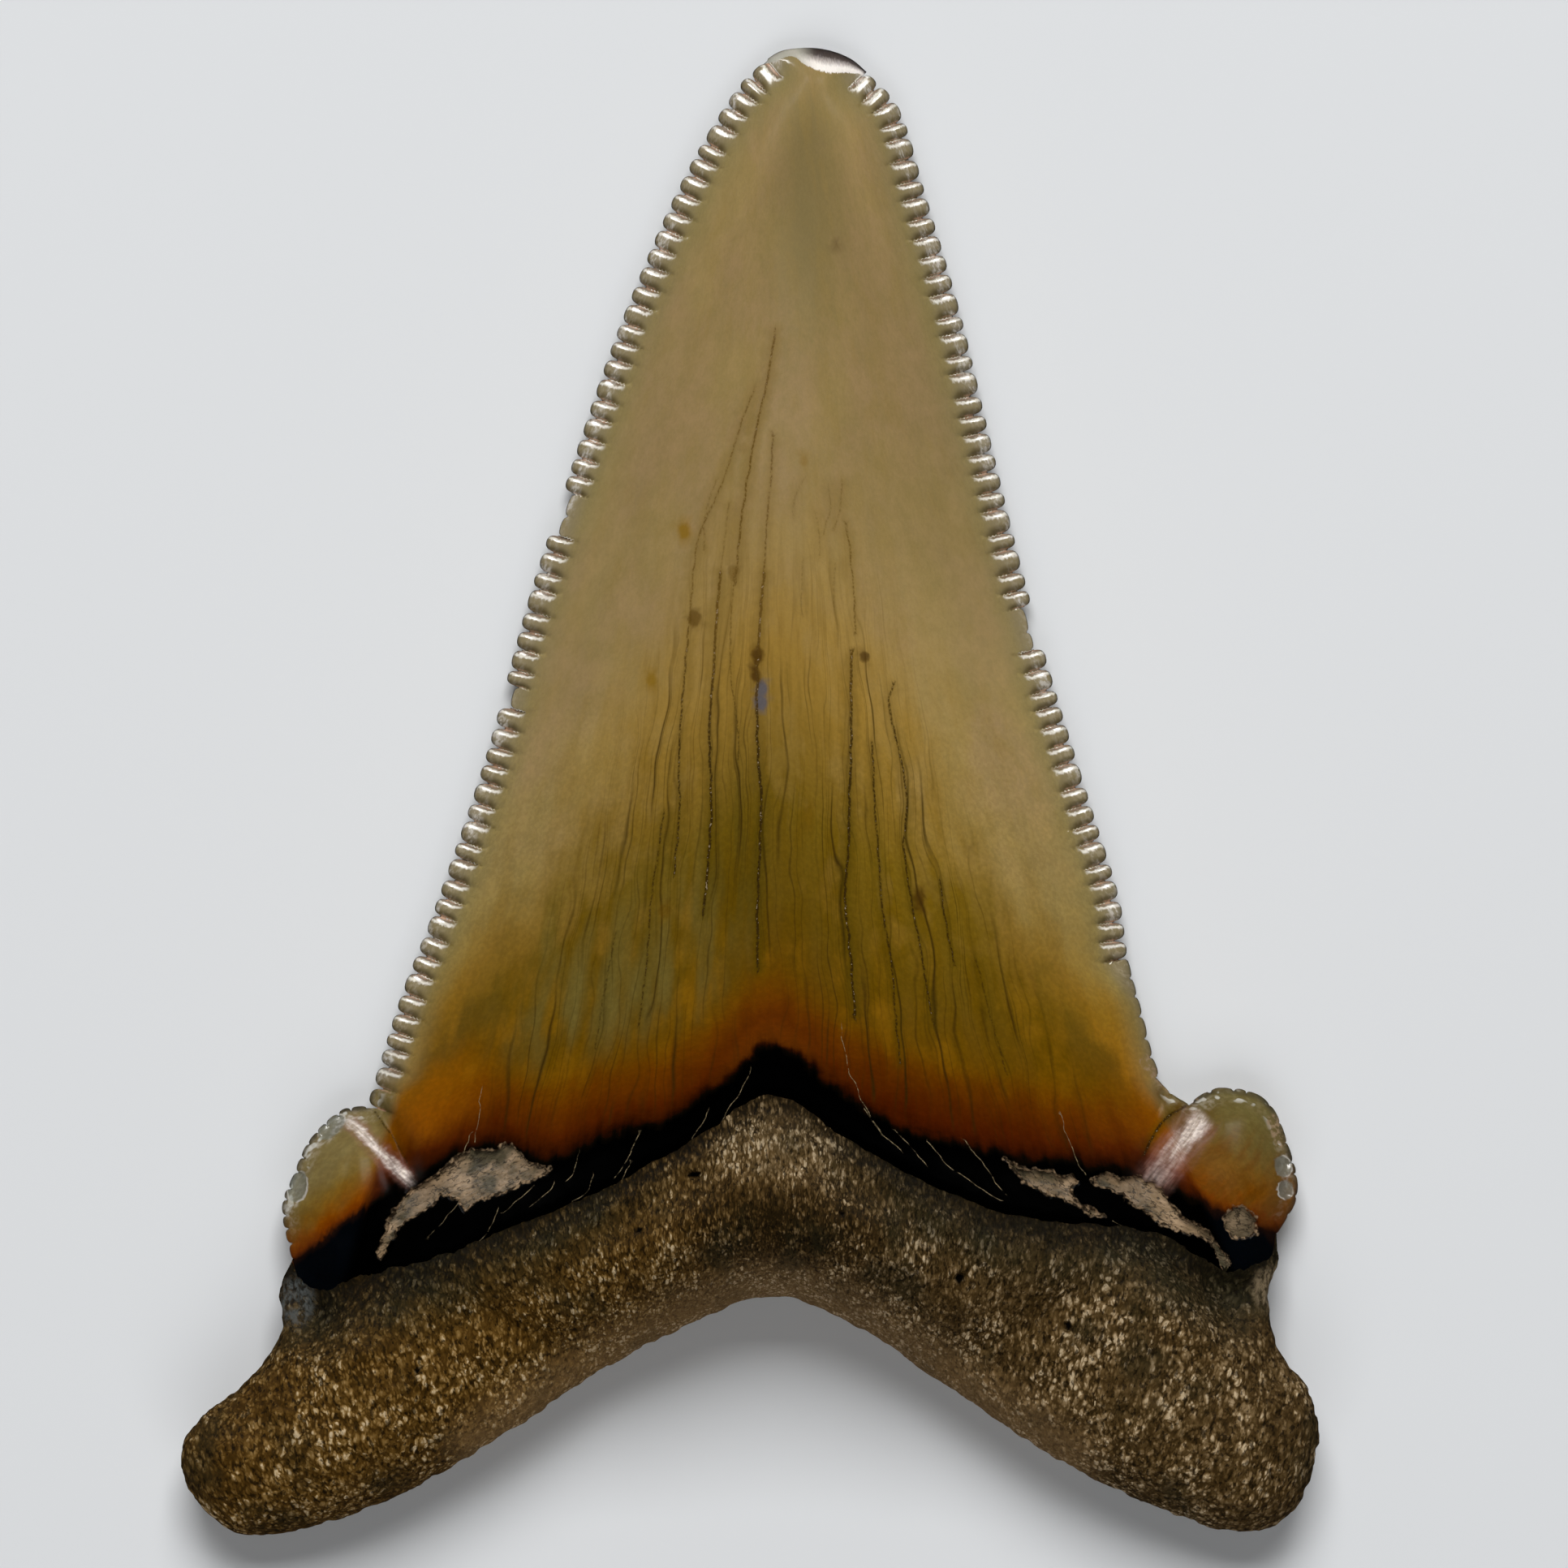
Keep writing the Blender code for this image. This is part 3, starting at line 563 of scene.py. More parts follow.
@dataclass
class Skin:
    """A closed mesh made of a front and a back face that share their outline."""

    name: str
    form: Form
    # How deep within the edge the rows of points run that follow each lobe, and those that follow it loosely
    fine_rows: tuple[float, ...] = (0.05,)
    rows: tuple[float, ...] = ()
    # How deep the rows stop following the lobes, and the least space to the first row and between rows
    even_depth: float = 1.9
    edge_space: float = 0.02
    row_space: float = 0.03
    # Below this level a closing line may run within the other skin
    hidden_below: float = math.inf

    def stations(self) -> Stations:
        """The skin's whole outline, with the tooth on its left-hand side."""
        raise NotImplementedError

    def surface(self, x: Array, y: Array, front: bool) -> Array:
        """The heights of one face."""
        raise NotImplementedError

    def details(self, front: bool) -> list[tuple[Array, float]]:
        """Groups of points within a face, the important ones first, each with its least spacing."""
        raise NotImplementedError

    def attributes(self, x: Array, y: Array, front: Array, notch: Array) -> dict[str, Array]:
        """Named vectors at each point, which the finishes read."""
        raise NotImplementedError

    def relief(self, loop: Stations, depth: float, front: bool) -> Array:
        """How far a row along the outline sinks between the lobes."""
        return np.zeros(len(loop.at))

    def notches(self, loop: Stations, depth: float) -> Array:
        """Where each place of a row along the outline is across its lobe, fading to 0 further in."""
        fade = 1 - eased(np.array([depth]), 0.85, 1.6)[0]
        return loop.lobe * (loop.relief > 0.3) * fade

    def fill(self, points: Array, count: int) -> Array:
        """Triangles over all the points, within the closed row that the first count of them make.

        Args:
            points: The places of the points.
            count: How many of them make the row.

        Returns:
            Three point numbers for each triangle.
        """
        row = [(k, (k + 1) % count) for k in range(count)]
        found = delaunay_2d_cdt([Vector(p) for p in points], row, [], 1, 1e-7, False)
        triangles = np.array(found[2])
        centres = points[triangles].mean(1)
        triangles = triangles[inside(points[:count], *centres.T)]
        a, b, c = (points[triangles[:, k]] for k in range(3))
        turn = (b[:, 0] - a[:, 0]) * (c[:, 1] - a[:, 1]) - (b[:, 1] - a[:, 1]) * (c[:, 0] - a[:, 0])
        triangles[turn < 0] = triangles[turn < 0][:, ::-1]
        return triangles

    def face(self, loop: Stations, front: bool) -> tuple[Array, Array, Array, Array]:
        """One face within the outline.

        Args:
            loop: the outline.
            front: whether it is the lingual face.

        Returns:
            The points, with the first row first, their heights, their notch shares and the triangles.
        """
        ring = loop.at_depth(self.fine_rows[0])
        points = ring
        sunk = [self.relief(loop, self.fine_rows[0], front)]
        notch = [self.notches(loop, self.fine_rows[0])]
        for depth in self.fine_rows[1:] + self.rows:
            every = 1 if depth in self.fine_rows else 2
            inset = loop.cut * (1 - depth / self.even_depth) + depth
            row = (loop.at + loop.inward * inset[:, None])[::every]
            sink, share = self.relief(loop, depth, front)[::every], self.notches(loop, depth)[::every]
            off_edge = distance_to(np.vstack([ring, ring[:1]]), *row.T)
            good = inside(ring, *row.T) & (off_edge > self.edge_space)
            row, sink, share = row[good], sink[good], share[good]
            free = gaps(row, points) > self.row_space
            points = np.vstack([points, row[free]])
            sunk.append(sink[free])
            notch.append(share[free])
        count = len(points)
        for group, space in self.details(front):
            group = group[inside(ring, *group.T)]
            points = np.vstack([points, group[gaps(group, points) >= space]])
        z = self.surface(points[:, 0], points[:, 1], front)
        z[:count] -= np.concatenate(sunk) * (1 if front else -1)
        shares = np.concatenate(notch + [np.zeros(len(points) - count)])
        return points, z, shares, self.fill(points, len(ring))

    def build(self) -> bpy.types.Object:
        """Makes the object, in metres and in the frame of the solid."""
        loop = self.stations()
        rim = loop.at_depth(0.0)
        count = len(rim)
        points, heights, triangles, fronts = [rim], [self.rim_of(rim)], [], [np.full(count, 0.5)]
        notches = [self.notches(loop, 0.0)]
        start = count
        own = np.arange(count)
        ahead = np.roll(own, -1)
        for front in (True, False):
            plan, z, shares, faces = self.face(loop, front)
            inner, inner_ahead = own + start, ahead + start
            strip = [np.stack([own, ahead, inner_ahead], 1), np.stack([own, inner_ahead, inner], 1)]
            both = np.concatenate([*strip, faces + start])
            triangles.append(both if front else both[:, ::-1])
            points.append(plan)
            heights.append(z)
            notches.append(shares)
            fronts.append(np.full(len(plan), 1.0 if front else 0.0))
            start += len(plan)
        plan, z, front = np.concatenate(points), np.concatenate(heights), np.concatenate(fronts)
        z = np.maximum(z, 0)
        mesh = bpy.data.meshes.new(self.name)
        low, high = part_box("tooth")
        moved = np.column_stack([plan - self.form.middle, z]) * MM
        moved = np.clip(moved, np.array(low), np.array(high))
        mesh.from_pydata(moved.tolist(), [], np.concatenate(triangles).tolist())
        for name, values in self.attributes(plan[:, 0], plan[:, 1], front, np.concatenate(notches)).items():
            made = mesh.attributes.new(name, "FLOAT_VECTOR", "POINT")
            made.data.foreach_set("vector", values.astype(np.float32).ravel())
        mesh.shade_smooth()
        piece = new_object(self.name, mesh)
        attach(piece, "root")
        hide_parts("tooth")
        log.info("%s: %d triangles, %d outline points", self.name, len(mesh.polygons), count)
        return piece

    def rim_of(self, rim: Array) -> Array:
        """The outline's heights: where the faces meet, or midway between them inside the other skin.

        Args:
            rim: the outline's points, one row each.

        Returns:
            One height for each point.
        """
        x, y = rim.T
        hidden = eased(self.form.depth(x, y), 0.3, 0.9) * (y < self.hidden_below)
        middle = (self.form.front(x, y) + self.form.back(x, y)) / 2
        return self.form.rim_height(y) * (1 - hidden) + middle * hidden


# Enamel


@dataclass
class EnamelCap(Skin):
    """The enamel: the main crown, both cusplets and the black band, closed inside the root."""

    fine_rows: tuple[float, ...] = (0.05, 0.12, 0.22, 0.36, 0.56, 0.78, 1.0)
    rows: tuple[float, ...] = (1.25, 1.55, 1.85)
    hidden_below: float = -21.0
    closing: Line = (
        (-21.7, -22.3), (-21.3, -23.3), (-19.8, -24.5), (-14.4, -23.2), (-7, -20.4), (1, -19),
        (8.2, -20.3), (14, -22.2), (19.3, -23.4), (23, -23.6), (24.4, -22.8), (24.9, -21.1))
    nose: float = 0.3
    nose_height: float = 0.3
    flute_depth: float = 0.38
    # The serrated blade: how far in it reaches, its gentle slope and the slope of the wall behind it
    blade_width: float = 1.4
    blade_slope: float = 0.5
    wall_slope: float = 1.25
    # How steeply the enamel goes under at its ends, and how deep at most on the front and the back
    dive: float = 1.2
    dive_depths: tuple[float, float] = (1.5, 1.2)
    crack_width: float = 0.105
    crack_depth: float = 0.02
    vein_width: float = 0.035
    vein_depth: float = 0.012
    flake_depth: float = 0.6
    # How far a crack stains the enamel beside it
    stain_width: float = 0.4
    cracks: tuple[Line, ...] = (
        ((1.17, 21.6), (0.84, 19.6), (0.3, 16.95), (-0.13, 14.7), (-0.39, 12.95), (-0.62, 10.8),
        (-0.7, 9.6)), ((0.24, 19), (-0.34, 17.5), (-1.1, 15.1), (-1.75, 13.4), (-2.4, 11.9), (-2.72, 9.9),
        (-2.83, 8)), ((0.63, 10.2), (0.41, 6.9), (0.3, 4.75), (0.37, 1.3), (0.52, -0.9), (0.35, -4.5),
        (0.35, -8.5)), ((-1.42, 10.2), (-1.64, 7.3), (-1.79, 4.75), (-1.92, 2.6), (-1.83, -0.9),
        (-1.9, -2.3), (-2.2, -5.9)), ((-2.83, 8), (-3.15, 4.75), (-3.37, 1.3), (-3.3, -0.9),
        (-3.6, -4)), ((4.75, 6.3), (4.7, 4.6), (4.75, 2.6), (4.65, 0.1), (4.6, -2.3), (4.45, -5.1),
        (4.6, -6.9), (4.9, -10.5)), ((6.7, 4.9), (6.5, 4.1), (7.05, 1.5), (7.35, -0.9), (7.2, -2.6),
        (7.45, -4.7), (8.1, -8.2), (8.6, -11.1)), ((8.85, -4.2), (9.25, -6.6), (9.55, -8.2)), ((5.7, 2.2),
        (5.9, -1.6), (6.15, -5.1), (6.6, -8.2), (7, -12.8)), ((-4.05, -1.1), (-4.6, -4.9), (-4.9, -8.4),
        (-5.2, -11.1)), ((-6.35, -6.8), (-6.9, -9.9), (-7.3, -12.2)), ((10.6, -8), (11.4, -11.1),
        (12.05, -13.4)), ((1.06, 16.6), (0.95, 14.5), (0.73, 11.9), (0.63, 10.2)), ((-1, 13.4),
        (-1.2, 11.7), (-1.42, 10.2)), ((-0.78, 10.4), (-0.88, 8.2), (-0.93, 5.6), (-0.62, 3.2),
        (-0.56, 1.3)), ((-1.6, 14.6), (-2.1, 12.9), (-2.2, 11.2)), ((4.3, 14.5), (4.15, 13), (3.9, 12.2)),
        ((4.5, 12.5), (4.73, 10.8), (4.84, 9.1), (4.9, 7.35)), ((3.65, 14.25), (3.76, 13.4), (3.43, 11.9)),
        ((3.05, 13.1), (3.25, 11.8), (3.2, 10.9)), ((2.5, 10.9), (2.4, 9.6), (2.42, 8.2)), ((3.97, 10.6),
        (3.9, 9.6), (3.93, 8.4)), ((2.5, 14.6), (2.1, 13.7), (2, 12.8)), ((20.6, -15), (19.8, -15.5),
        (19.15, -16.2), (18.6, -17.2)), ((-17.9, -15.2), (-17.3, -16), (-16.6, -16.9), (-16.05, -18)))
    crack_darkness: tuple[float, ...] = (
        0.6, 0.45, 1.0, 0.9, 0.6, 0.9, 0.6, 0.55, 0.6, 0.5, 0.4, 0.4, 0.5, 0.35, 0.4, 0.35, 0.35, 0.45, 0.3,
        0.3, 0.3, 0.3, 0.3, 0.9, 0.5)
    veins: tuple[Line, ...] = (
        ((-12.6, -13.95), (-12.85, -15.3), (-12.95, -16.6)), ((-13.1, -16.1), (-13.45, -16.8),
        (-13.6, -17.6)), ((4.25, -11.1), (4.6, -13), (5.1, -14.3), (6.15, -16.25)), ((14.6, -15.3),
        (15.1, -16.8), (15.7, -18.1)), ((0, -13), (-0.5, -14.1), (-1.35, -15.5), (-1.55, -16.2)),
        ((-1.9, -14.9), (-2.6, -16.2), (-3.1, -17.1)), ((-5.2, -16.1), (-5.75, -17.4), (-6.25, -18.2)),
        ((-7.95, -16.9), (-8.25, -17.8), (-8.65, -18.3)), ((-5.65, -17.4), (-6.15, -18.55), (-6.65, -19.1)),
        ((8.25, -16.45), (9.25, -17.6), (10.4, -18.4), (11.75, -19.3)), ((10, -16.4), (10.75, -17.4),
        (11.55, -18.55), (12, -19.05)), ((-11.75, -19.6), (-12.3, -20.7), (-13.25, -21.8),
        (-13.85, -22.6)), ((-13.75, -19.3), (-14.05, -19.9), (-14.6, -20.5), (-15.2, -21.05)),
        ((-10.2, -18.55), (-10.95, -19.3), (-11.65, -19.9)), ((-9.1, -18.4), (-9.75, -19.1),
        (-10.2, -19.5)), ((5.25, -14.9), (6.15, -16.05), (7.1, -16.9)), ((17.05, -20.3), (18.25, -20.9),
        (19.25, -21.4)), ((6.75, -15.9), (7.8, -17), (8.25, -17.6)), ((-7.3, -18), (-7.8, -18.95),
        (-8.45, -19.3)))
    flakes: tuple[Line, ...] = (
        ((-16, -18.9), (-15, -18.4), (-13.9, -17.4), (-13.1, -17), (-12.1, -16.9), (-11.15, -16.6),
        (-10.85, -17.1), (-10.35, -17.5), (-9.4, -17.8), (-10.2, -18.3), (-11, -18.6), (-11.8, -19.05),
        (-12.9, -19.25), (-13.4, -19.7), (-13.75, -19.25), (-14.55, -19.1), (-15.05, -19.7), (-16, -20.2),
        (-16.6, -20.7), (-17.1, -21.45), (-17.4, -22.15), (-17.65, -22.05), (-17.35, -21.05),
        (-16.95, -20.15)), ((11.9, -17.3), (12.45, -17.7), (13.75, -17.95), (15.15, -18.2), (15.4, -18.5),
        (15, -18.9), (15.45, -19.5), (16.7, -20.1), (15.95, -19.95), (14.7, -19.15), (13.7, -18.85),
        (12.8, -18.4)), ((15.9, -18.35), (16.75, -18.1), (17.4, -18.35), (18.25, -18.2), (19.1, -18.6),
        (19.55, -19.1), (19.85, -19.8), (20.8, -20.4), (21.6, -20.85), (22.05, -21.5), (22.55, -22.35),
        (22.4, -22.65), (21.9, -21.65), (21.25, -21.1), (20.15, -20.8), (19.4, -20.5), (18.75, -20),
        (17.95, -19.45), (17.2, -19), (16.25, -18.6)), ((22.3, -20.1), (22.7, -19.65), (23.3, -19.7),
        (23.85, -20.25), (23.85, -21), (23.3, -21.25), (22.7, -21.15), (22.4, -20.7)))
    scallops: tuple[Dome, ...] = (
        Dome((-19.85, -16.0), 0.85, 0.85, 0.42, 0.3), Dome((-21.45, -18.8), 0.25, 0.8, 0.5, 0.35),
        Dome((25.2, -17.85), -0.4, 0.55, 0.45, 0.35), Dome((25.3, -18.95), -0.2, 0.5, 0.4, 0.3))
    # Tan chips along the edges, each a line
    chips: tuple[Line, ...] = (
        ((18.75, -12.9), (19.7, -13.9), (20.9, -14.6)), ((24.75, -15.7), (25.1, -16.6)),
        ((-12.35, 4), (-12.1, 4.8)))
    # Small stains: the middle, its radius, how dark it is and how yellow, or blue below 0
    stains: tuple[tuple[float, float, float, float, float], ...] = (
        (-3.1, 12.15, 0.38, 0.1, 1.0), (-4.65, 5.15, 0.3, 0.1, 0.8), (2.5, 15.4, 0.25, 0.1, 0.5),
        (-2.6, 8.0, 0.34, 0.7, 0.4), (0.35, 6.3, 0.34, 1.0, 0.4), (0.25, 5.3, 0.3, 1.0, 0.3),
        (0.55, 4.7, 0.32, 0.0, -1.0), (0.5, 4.05, 0.34, 0.0, -1.0), (5.35, 6.2, 0.26, 0.9, 0.0),
        (7.9, -5.2, 0.36, 0.8, 0.0),
        (-4.0, -5.75, 0.35, 0.5, 0.5), (4.05, 25.75, 0.09, 0.45, 0.0), (-0.8, 10.2, 0.32, 0.35, 0.2),
        (2.7, -1.25, 0.4, 0.3, 0.4))
    # The gleaming strips along the inner side of the left and the right cusplet, from the top down
    shoulders: tuple[Line, Line] = ([(-18.95, -15.75), (-16.05, -18.5)], [(21.35, -15.55), (19.35, -18.0)])
    # Half the width of the olive core at each level
    core_halves: Line = (
        (-16, 21), (-12, 16.5), (-8, 12.8), (-3, 9.2), (2, 7.2), (6, 5.6), (10, 4), (14, 2.2), (18, 0.5))
    # Even grids over the cusplets, the foot of the crown and all of it: step, two corners, least spacing
    even_grids: tuple[tuple[float, tuple[float, float], tuple[float, float], float], ...] = (
        (0.22, (-23, -24.5), (-15.5, -14), 0.16), (0.22, (18.5, -24.5), (26.5, -13.5), 0.16),
        (0.25, (-20, -24.5), (20, -11), 0.18), (0.36, (-26.0, -25.0), (26.0, 35.5), 0.26))
    # The lower boundary of the chipped facet at the tip
    facet_foot: Line = (
        (0.6, 34.4), (1.2, 34.55), (1.99, 34.77), (2.62, 34.3), (3.72, 33.94), (4.5, 33.98), (5.3, 33.9),
        (5.6, 33.7))

    def stations(self) -> Stations:
        """The serrated edges and cusplets, the chipped tip and the closing line inside the root."""
        form = self.form
        return Stations.joined([
            Serration(form.left_edge, wear=((13.1, 0.6, 0.4), (4.4, 0.8, 0.45)), first_share=0.2).stations(),
            Serration(form.left_cusplet, pitch=0.72, notch=0.13, relief=0.2, pitch_spread=0.2,
                      depth_spread=0.5).stations(),
            plain_stretch(self.closing, 0.4),
            Serration(form.right_cusplet, pitch=0.95, notch=0.09, relief=0.2, pitch_spread=0.3,
                      depth_spread=0.6).stations(),
            Serration(form.right_edge, wear=((8.1, 1.0, 0.4), (-14.3, 0.9, 0.2)), low_from=-8.0).stations(),
            plain_stretch(form.chip, 0.15),
        ])

    def relief(self, loop: Stations, depth: float, front: bool) -> Array:
        """How far the flutes between the lobes sink at a depth within the edge.

        Args:
            loop: The stations of the edge.
            depth: How far in, in mm.
            front: True for the front face.

        Returns:
            The sink of each station in mm.
        """
        valley = 1 - np.sqrt(np.clip(1 - (0.985 * loop.lobe) ** 2, 0, 1))
        reach = 0.4 + 1.25 * np.clip(loop.relief, 0, 1)
        valley = 0.6 * loop.lobe**2 + 0.4 * valley
        fade = 1 - eased(depth / reach, 0.45, 1.0)
        return valley * fade * loop.relief * self.flute_depth * (1.0 if front else 0.5)

    def crack_lines(self) -> list[tuple[Array, float, bool]]:
        """Each crack's wavering path, how strong it is, and whether it is a light vein."""
        lines = []
        strengths = self.crack_darkness + (1.0,) * len(self.veins)
        for k, (crack, strength) in enumerate(zip(self.cracks + self.veins, strengths)):
            curve = smooth_curve(crack, 0.12)
            light = k >= len(self.cracks)
            sway = 0.16 if light else 0.06
            swing = layered_noise(curve[:, 1] * 1.6 + 7 * k, curve[:, 0] * 0, 21, 3) * sway
            lines.append((curve + np.stack([swing, swing * 0], 1), strength, light))
        return lines

    def flaked(self, x: Array, y: Array) -> Array:
        """How far within a flaked patch each point is, below 0 outside.

        Args:
            x: the points' x.
            y: the points' y.

        Returns:
            One distance for each point, with a ragged edge.
        """
        ragged = 0.12 * layered_noise((x - y) * 2.4, (x + y) * 0.9, 31)
        ragged = ragged + 0.13 * layered_noise(x * 4.5, y * 4.5, 33, 2)
        best = np.full(len(x), -9.0)
        for patch in self.flakes:
            ring = np.array(patch + patch[:1])
            near = close_to(ring, 1.0, x, y)
            if near.any():
                away = distance_to(ring, x[near], y[near])
                away = np.where(inside(ring[:-1], x[near], y[near]), away, -away)
                best[near] = np.maximum(best[near], away)
        return best + ragged

    def crack_share(self, x: Array, y: Array, light: bool, width: float) -> Array:
        """How much of a crack each point has, from 0 beside it to its strength on its line.

        Args:
            x: the points' x.
            y: the points' y.
            light: whether to look at the light veins, and not at the cracks.
            width: how far to each side a line reaches, in mm.

        Returns:
            One share for each point.
        """
        share = np.zeros(len(x))
        for curve, strength, is_light in self.crack_lines():
            if is_light != light:
                continue
            near = close_to(curve, width, x, y)
            if near.any():
                away = distance_to(curve, x[near], y[near])
                share[near] = np.maximum(share[near], strength * np.clip(1 - away / width, 0, 1))
        return share

    def details(self, front: bool) -> list[tuple[Array, float]]:
        """Points along cracks, round stains and in flaked patches, then even grids.

        Args:
            front: whether they are for the lingual face. The labial one has a coarse grid alone.

        Returns:
            Groups of points, each with its least spacing.
        """
        if not front:
            return [(grid(0.6, *self.even_grids[-1][1:3]), 0.42)]
        groups = []
        for curve, _, light in self.crack_lines():
            width = self.vein_width if light else self.crack_width
            length = length_along(curve)[-1]
            at, side = walk(curve, np.arange(0.05, length, 0.1))
            groups += [(at + side * offset, 0.03) for offset in (0.0, -width, width)]
        for x, y, radius, _, _ in self.stains:
            turns = np.arange(10) * math.tau / 10
            for reach in (0.25, 0.6, 0.9, 1.2):
                ring = (x + radius * reach * np.cos(turns), y + radius * reach * np.sin(turns))
                groups.append((np.stack(ring, 1), 0.05))
        for patch in self.flakes:
            points = np.array(patch)
            dense = grid(0.11, tuple(points.min(0) - 0.7), tuple(points.max(0) + 0.7))
            ring = np.vstack([points, points[:1]])
            close = (distance_to(ring, *dense.T) < 0.5) | inside(points, *dense.T)
            groups.append((dense[close], 0.07))
        for dish in self.scallops:
            x, y = dish.middle
            groups.append((grid(0.13, (x - 1, y - 1), (x + 1, y + 1)), 0.09))
        return groups + [(grid(step, corner, end), space) for step, corner, end, space in self.even_grids]

    def surface(self, x: Array, y: Array, front: bool) -> Array:
        """The enamel's heights: steps, cracks, flakes and scallops on the front, plain on the back.

        Args:
            x: Across.
            y: Up the tooth.
            front: True for the front face.

        Returns:
            The heights in mm.
        """
        form = self.form
        depth = form.depth(x, y)
        if not front:
            below = form.below_labial_foot(x, y)
            return form.back(x, y) + np.clip(below * self.dive, 0, self.dive_depths[1])
        nose = np.sqrt(np.clip(1 - (1 - np.clip(depth / self.nose, 0, 1)) ** 2, 0, 1))
        z = form.front(x, y) + self.nose_height * nose * eased(y, -23, -20)
        from_edge = distance_to(form.sound_outline, x, y)
        past = from_edge - self.blade_width
        wall = self.wall_slope * (past + np.sqrt(past**2 + 0.3)) / 2
        blade = form.rim_height(y) + self.nose_height * nose + self.blade_slope * from_edge + wall
        blade = blade + 9 * eased(y, np.where(x > 0, -6.5, -11.5), -15.5) ** 2
        z = form.lesser(z, blade, 0.1 + 0.6 * eased(depth, 0.4, 1.4))
        z -= form.band_sink * eased(form.below_top(x, y), -0.3, 0.6)
        z += 0.02 * layered_noise(x * 0.9, y * 0.35, 41)
        z -= self.crack_depth * self.crack_share(x, y, False, self.crack_width)
        z -= self.vein_depth * self.crack_share(x, y, True, self.vein_width)
        for dish in self.scallops:
            z -= dish.height * dish.at(x, y) * np.clip(depth / 0.3, 0, 1)
        z -= self.flake_depth * eased(self.flaked(x, y), -0.04, 0.08)
        return z - np.clip(form.below_foot(x, y) * self.dive, 0, self.dive_depths[0])

    def stained(self, x: Array, y: Array) -> tuple[Array, Array]:
        """How dark each point is stained, and how yellow, or how blue below 0.

        Args:
            x: Across.
            y: Up the tooth.

        Returns:
            The darkness and the tint.
        """
        dark, tint = np.zeros(len(x)), np.zeros(len(x))
        uneven = 0.45 * layered_noise(x * 4.5, y * 3.0, 81)
        for sx, sy, radius, darkness, yellowness in self.stains:
            away = np.hypot(x - sx, (y - sy) / 1.5) / radius
            dark = np.maximum(dark, eased(away + uneven, 1.1, 0.55) * darkness)
            soft = eased(away + 0.5 * uneven, 1.35, 0.3) * yellowness
            tint = np.where(abs(soft) > abs(tint), soft, tint)
        return dark, tint

    def by_shoulder(self, x: Array, y: Array) -> tuple[Array, Array]:
        """How far each point is down its side's gleaming strip, and how far off it, in mm.

        Args:
            x: Across.
            y: Up the tooth.

        Returns:
            The way down the strip and the way off it.
        """
        (left_top, left_foot), (right_top, right_foot) = self.shoulders
        top_x, top_y = (np.where(x > 0, b, a) for a, b in zip(left_top, right_top))
        way_x, way_y = (np.where(x > 0, b, a) for a, b in zip(left_foot, right_foot))
        way_x, way_y = way_x - top_x, way_y - top_y
        reach = np.hypot(way_x, way_y)
        along = ((x - top_x) * way_x + (y - top_y) * way_y) / reach
        return along, ((x - top_x) * way_y - (y - top_y) * way_x) / reach

    def attributes(self, x: Array, y: Array, front: Array, notch: Array) -> dict[str, Array]:
        """Where each point is for the finish, and the marks that it carries.

        Args:
            x: Across.
            y: Up the tooth.
            front: 1 on the front face, 0.5 on the rim and 0 on the back.
            notch: Where each lies across its lobe, from -1 to 1.

        Returns:
            The values of each attribute by name.
        """
        form = self.form
        fan = (x - 1.0) * 48 / (48 - np.clip(y, -30, 36))
        above = -form.below_top(x, y)
        labial = eased(front, 0.7, 0.3)
        above = above * (1 - labial) + np.maximum(1.2 - form.below_labial_foot(x, y), 1.0) * labial
        lean = 0.5 * (y + 16)
        on_right = eased(x + lean * 0.9, 19.5, 20.1) * (x > 0)
        on_left = eased(-x + lean * 0.55, 16.9, 17.5) * (x < 0)
        cusplet = np.maximum(on_right, on_left) * eased(y, -13.6, -14.4)
        flake_edge = eased(self.flaked(x, y), -0.2, 0.0)
        for chip in self.chips:
            flake_edge = np.maximum(flake_edge, eased(distance_to(np.array(chip), x, y), 0.6, 0.2))
        upper = notch * np.where(form.across(x, y) > 0, 1, -1)
        bare = np.where(x > 0, eased(y, -8.0, -10.5), eased(y, -13.5, -14.8))
        edge_depth = distance_to(form.sound_outline, x, y) + 0.9 * bare * (1 - cusplet)
        half = np.interp(y, *zip(*self.core_halves))
        core = eased(half - abs(x - 0.7 - 0.02 * (y + 10)), -3.4, 3.0) * eased(y, 18, 8)
        core += 0.5 * np.exp(-(((x + 0.7) / 1.1) ** 2) - ((y + 3.0) / 3.4) ** 2)
        streak = np.exp(-(((x - 2.6) / 1.6) ** 2)) * eased(y, 17, 27) * eased(y, 34.5, 32)
        dark, tint = self.stained(x, y)
        along_strip, off_strip = self.by_shoulder(x, y)
        glass = np.zeros(len(x))
        for dish in self.scallops:
            glass = np.maximum(glass, np.clip(dish.at(x, y) * 2.5, 0, 1))
        seen_side = front > 0.7
        cracks = self.crack_share(x, y, False, self.crack_width) * seen_side
        veins = self.crack_share(x, y, True, self.vein_width) * seen_side
        flank = np.clip(abs(form.across(x, y)), 0, 1)
        top, foot = height_of(form.chip[::-1], x), height_of(self.facet_foot, x)
        facet = np.where((x > 0.6) & (x < 5.6), (top - y) / np.maximum(top - foot, 0.05), 2.0)
        halo = self.crack_share(x, y, False, self.stain_width) * seen_side
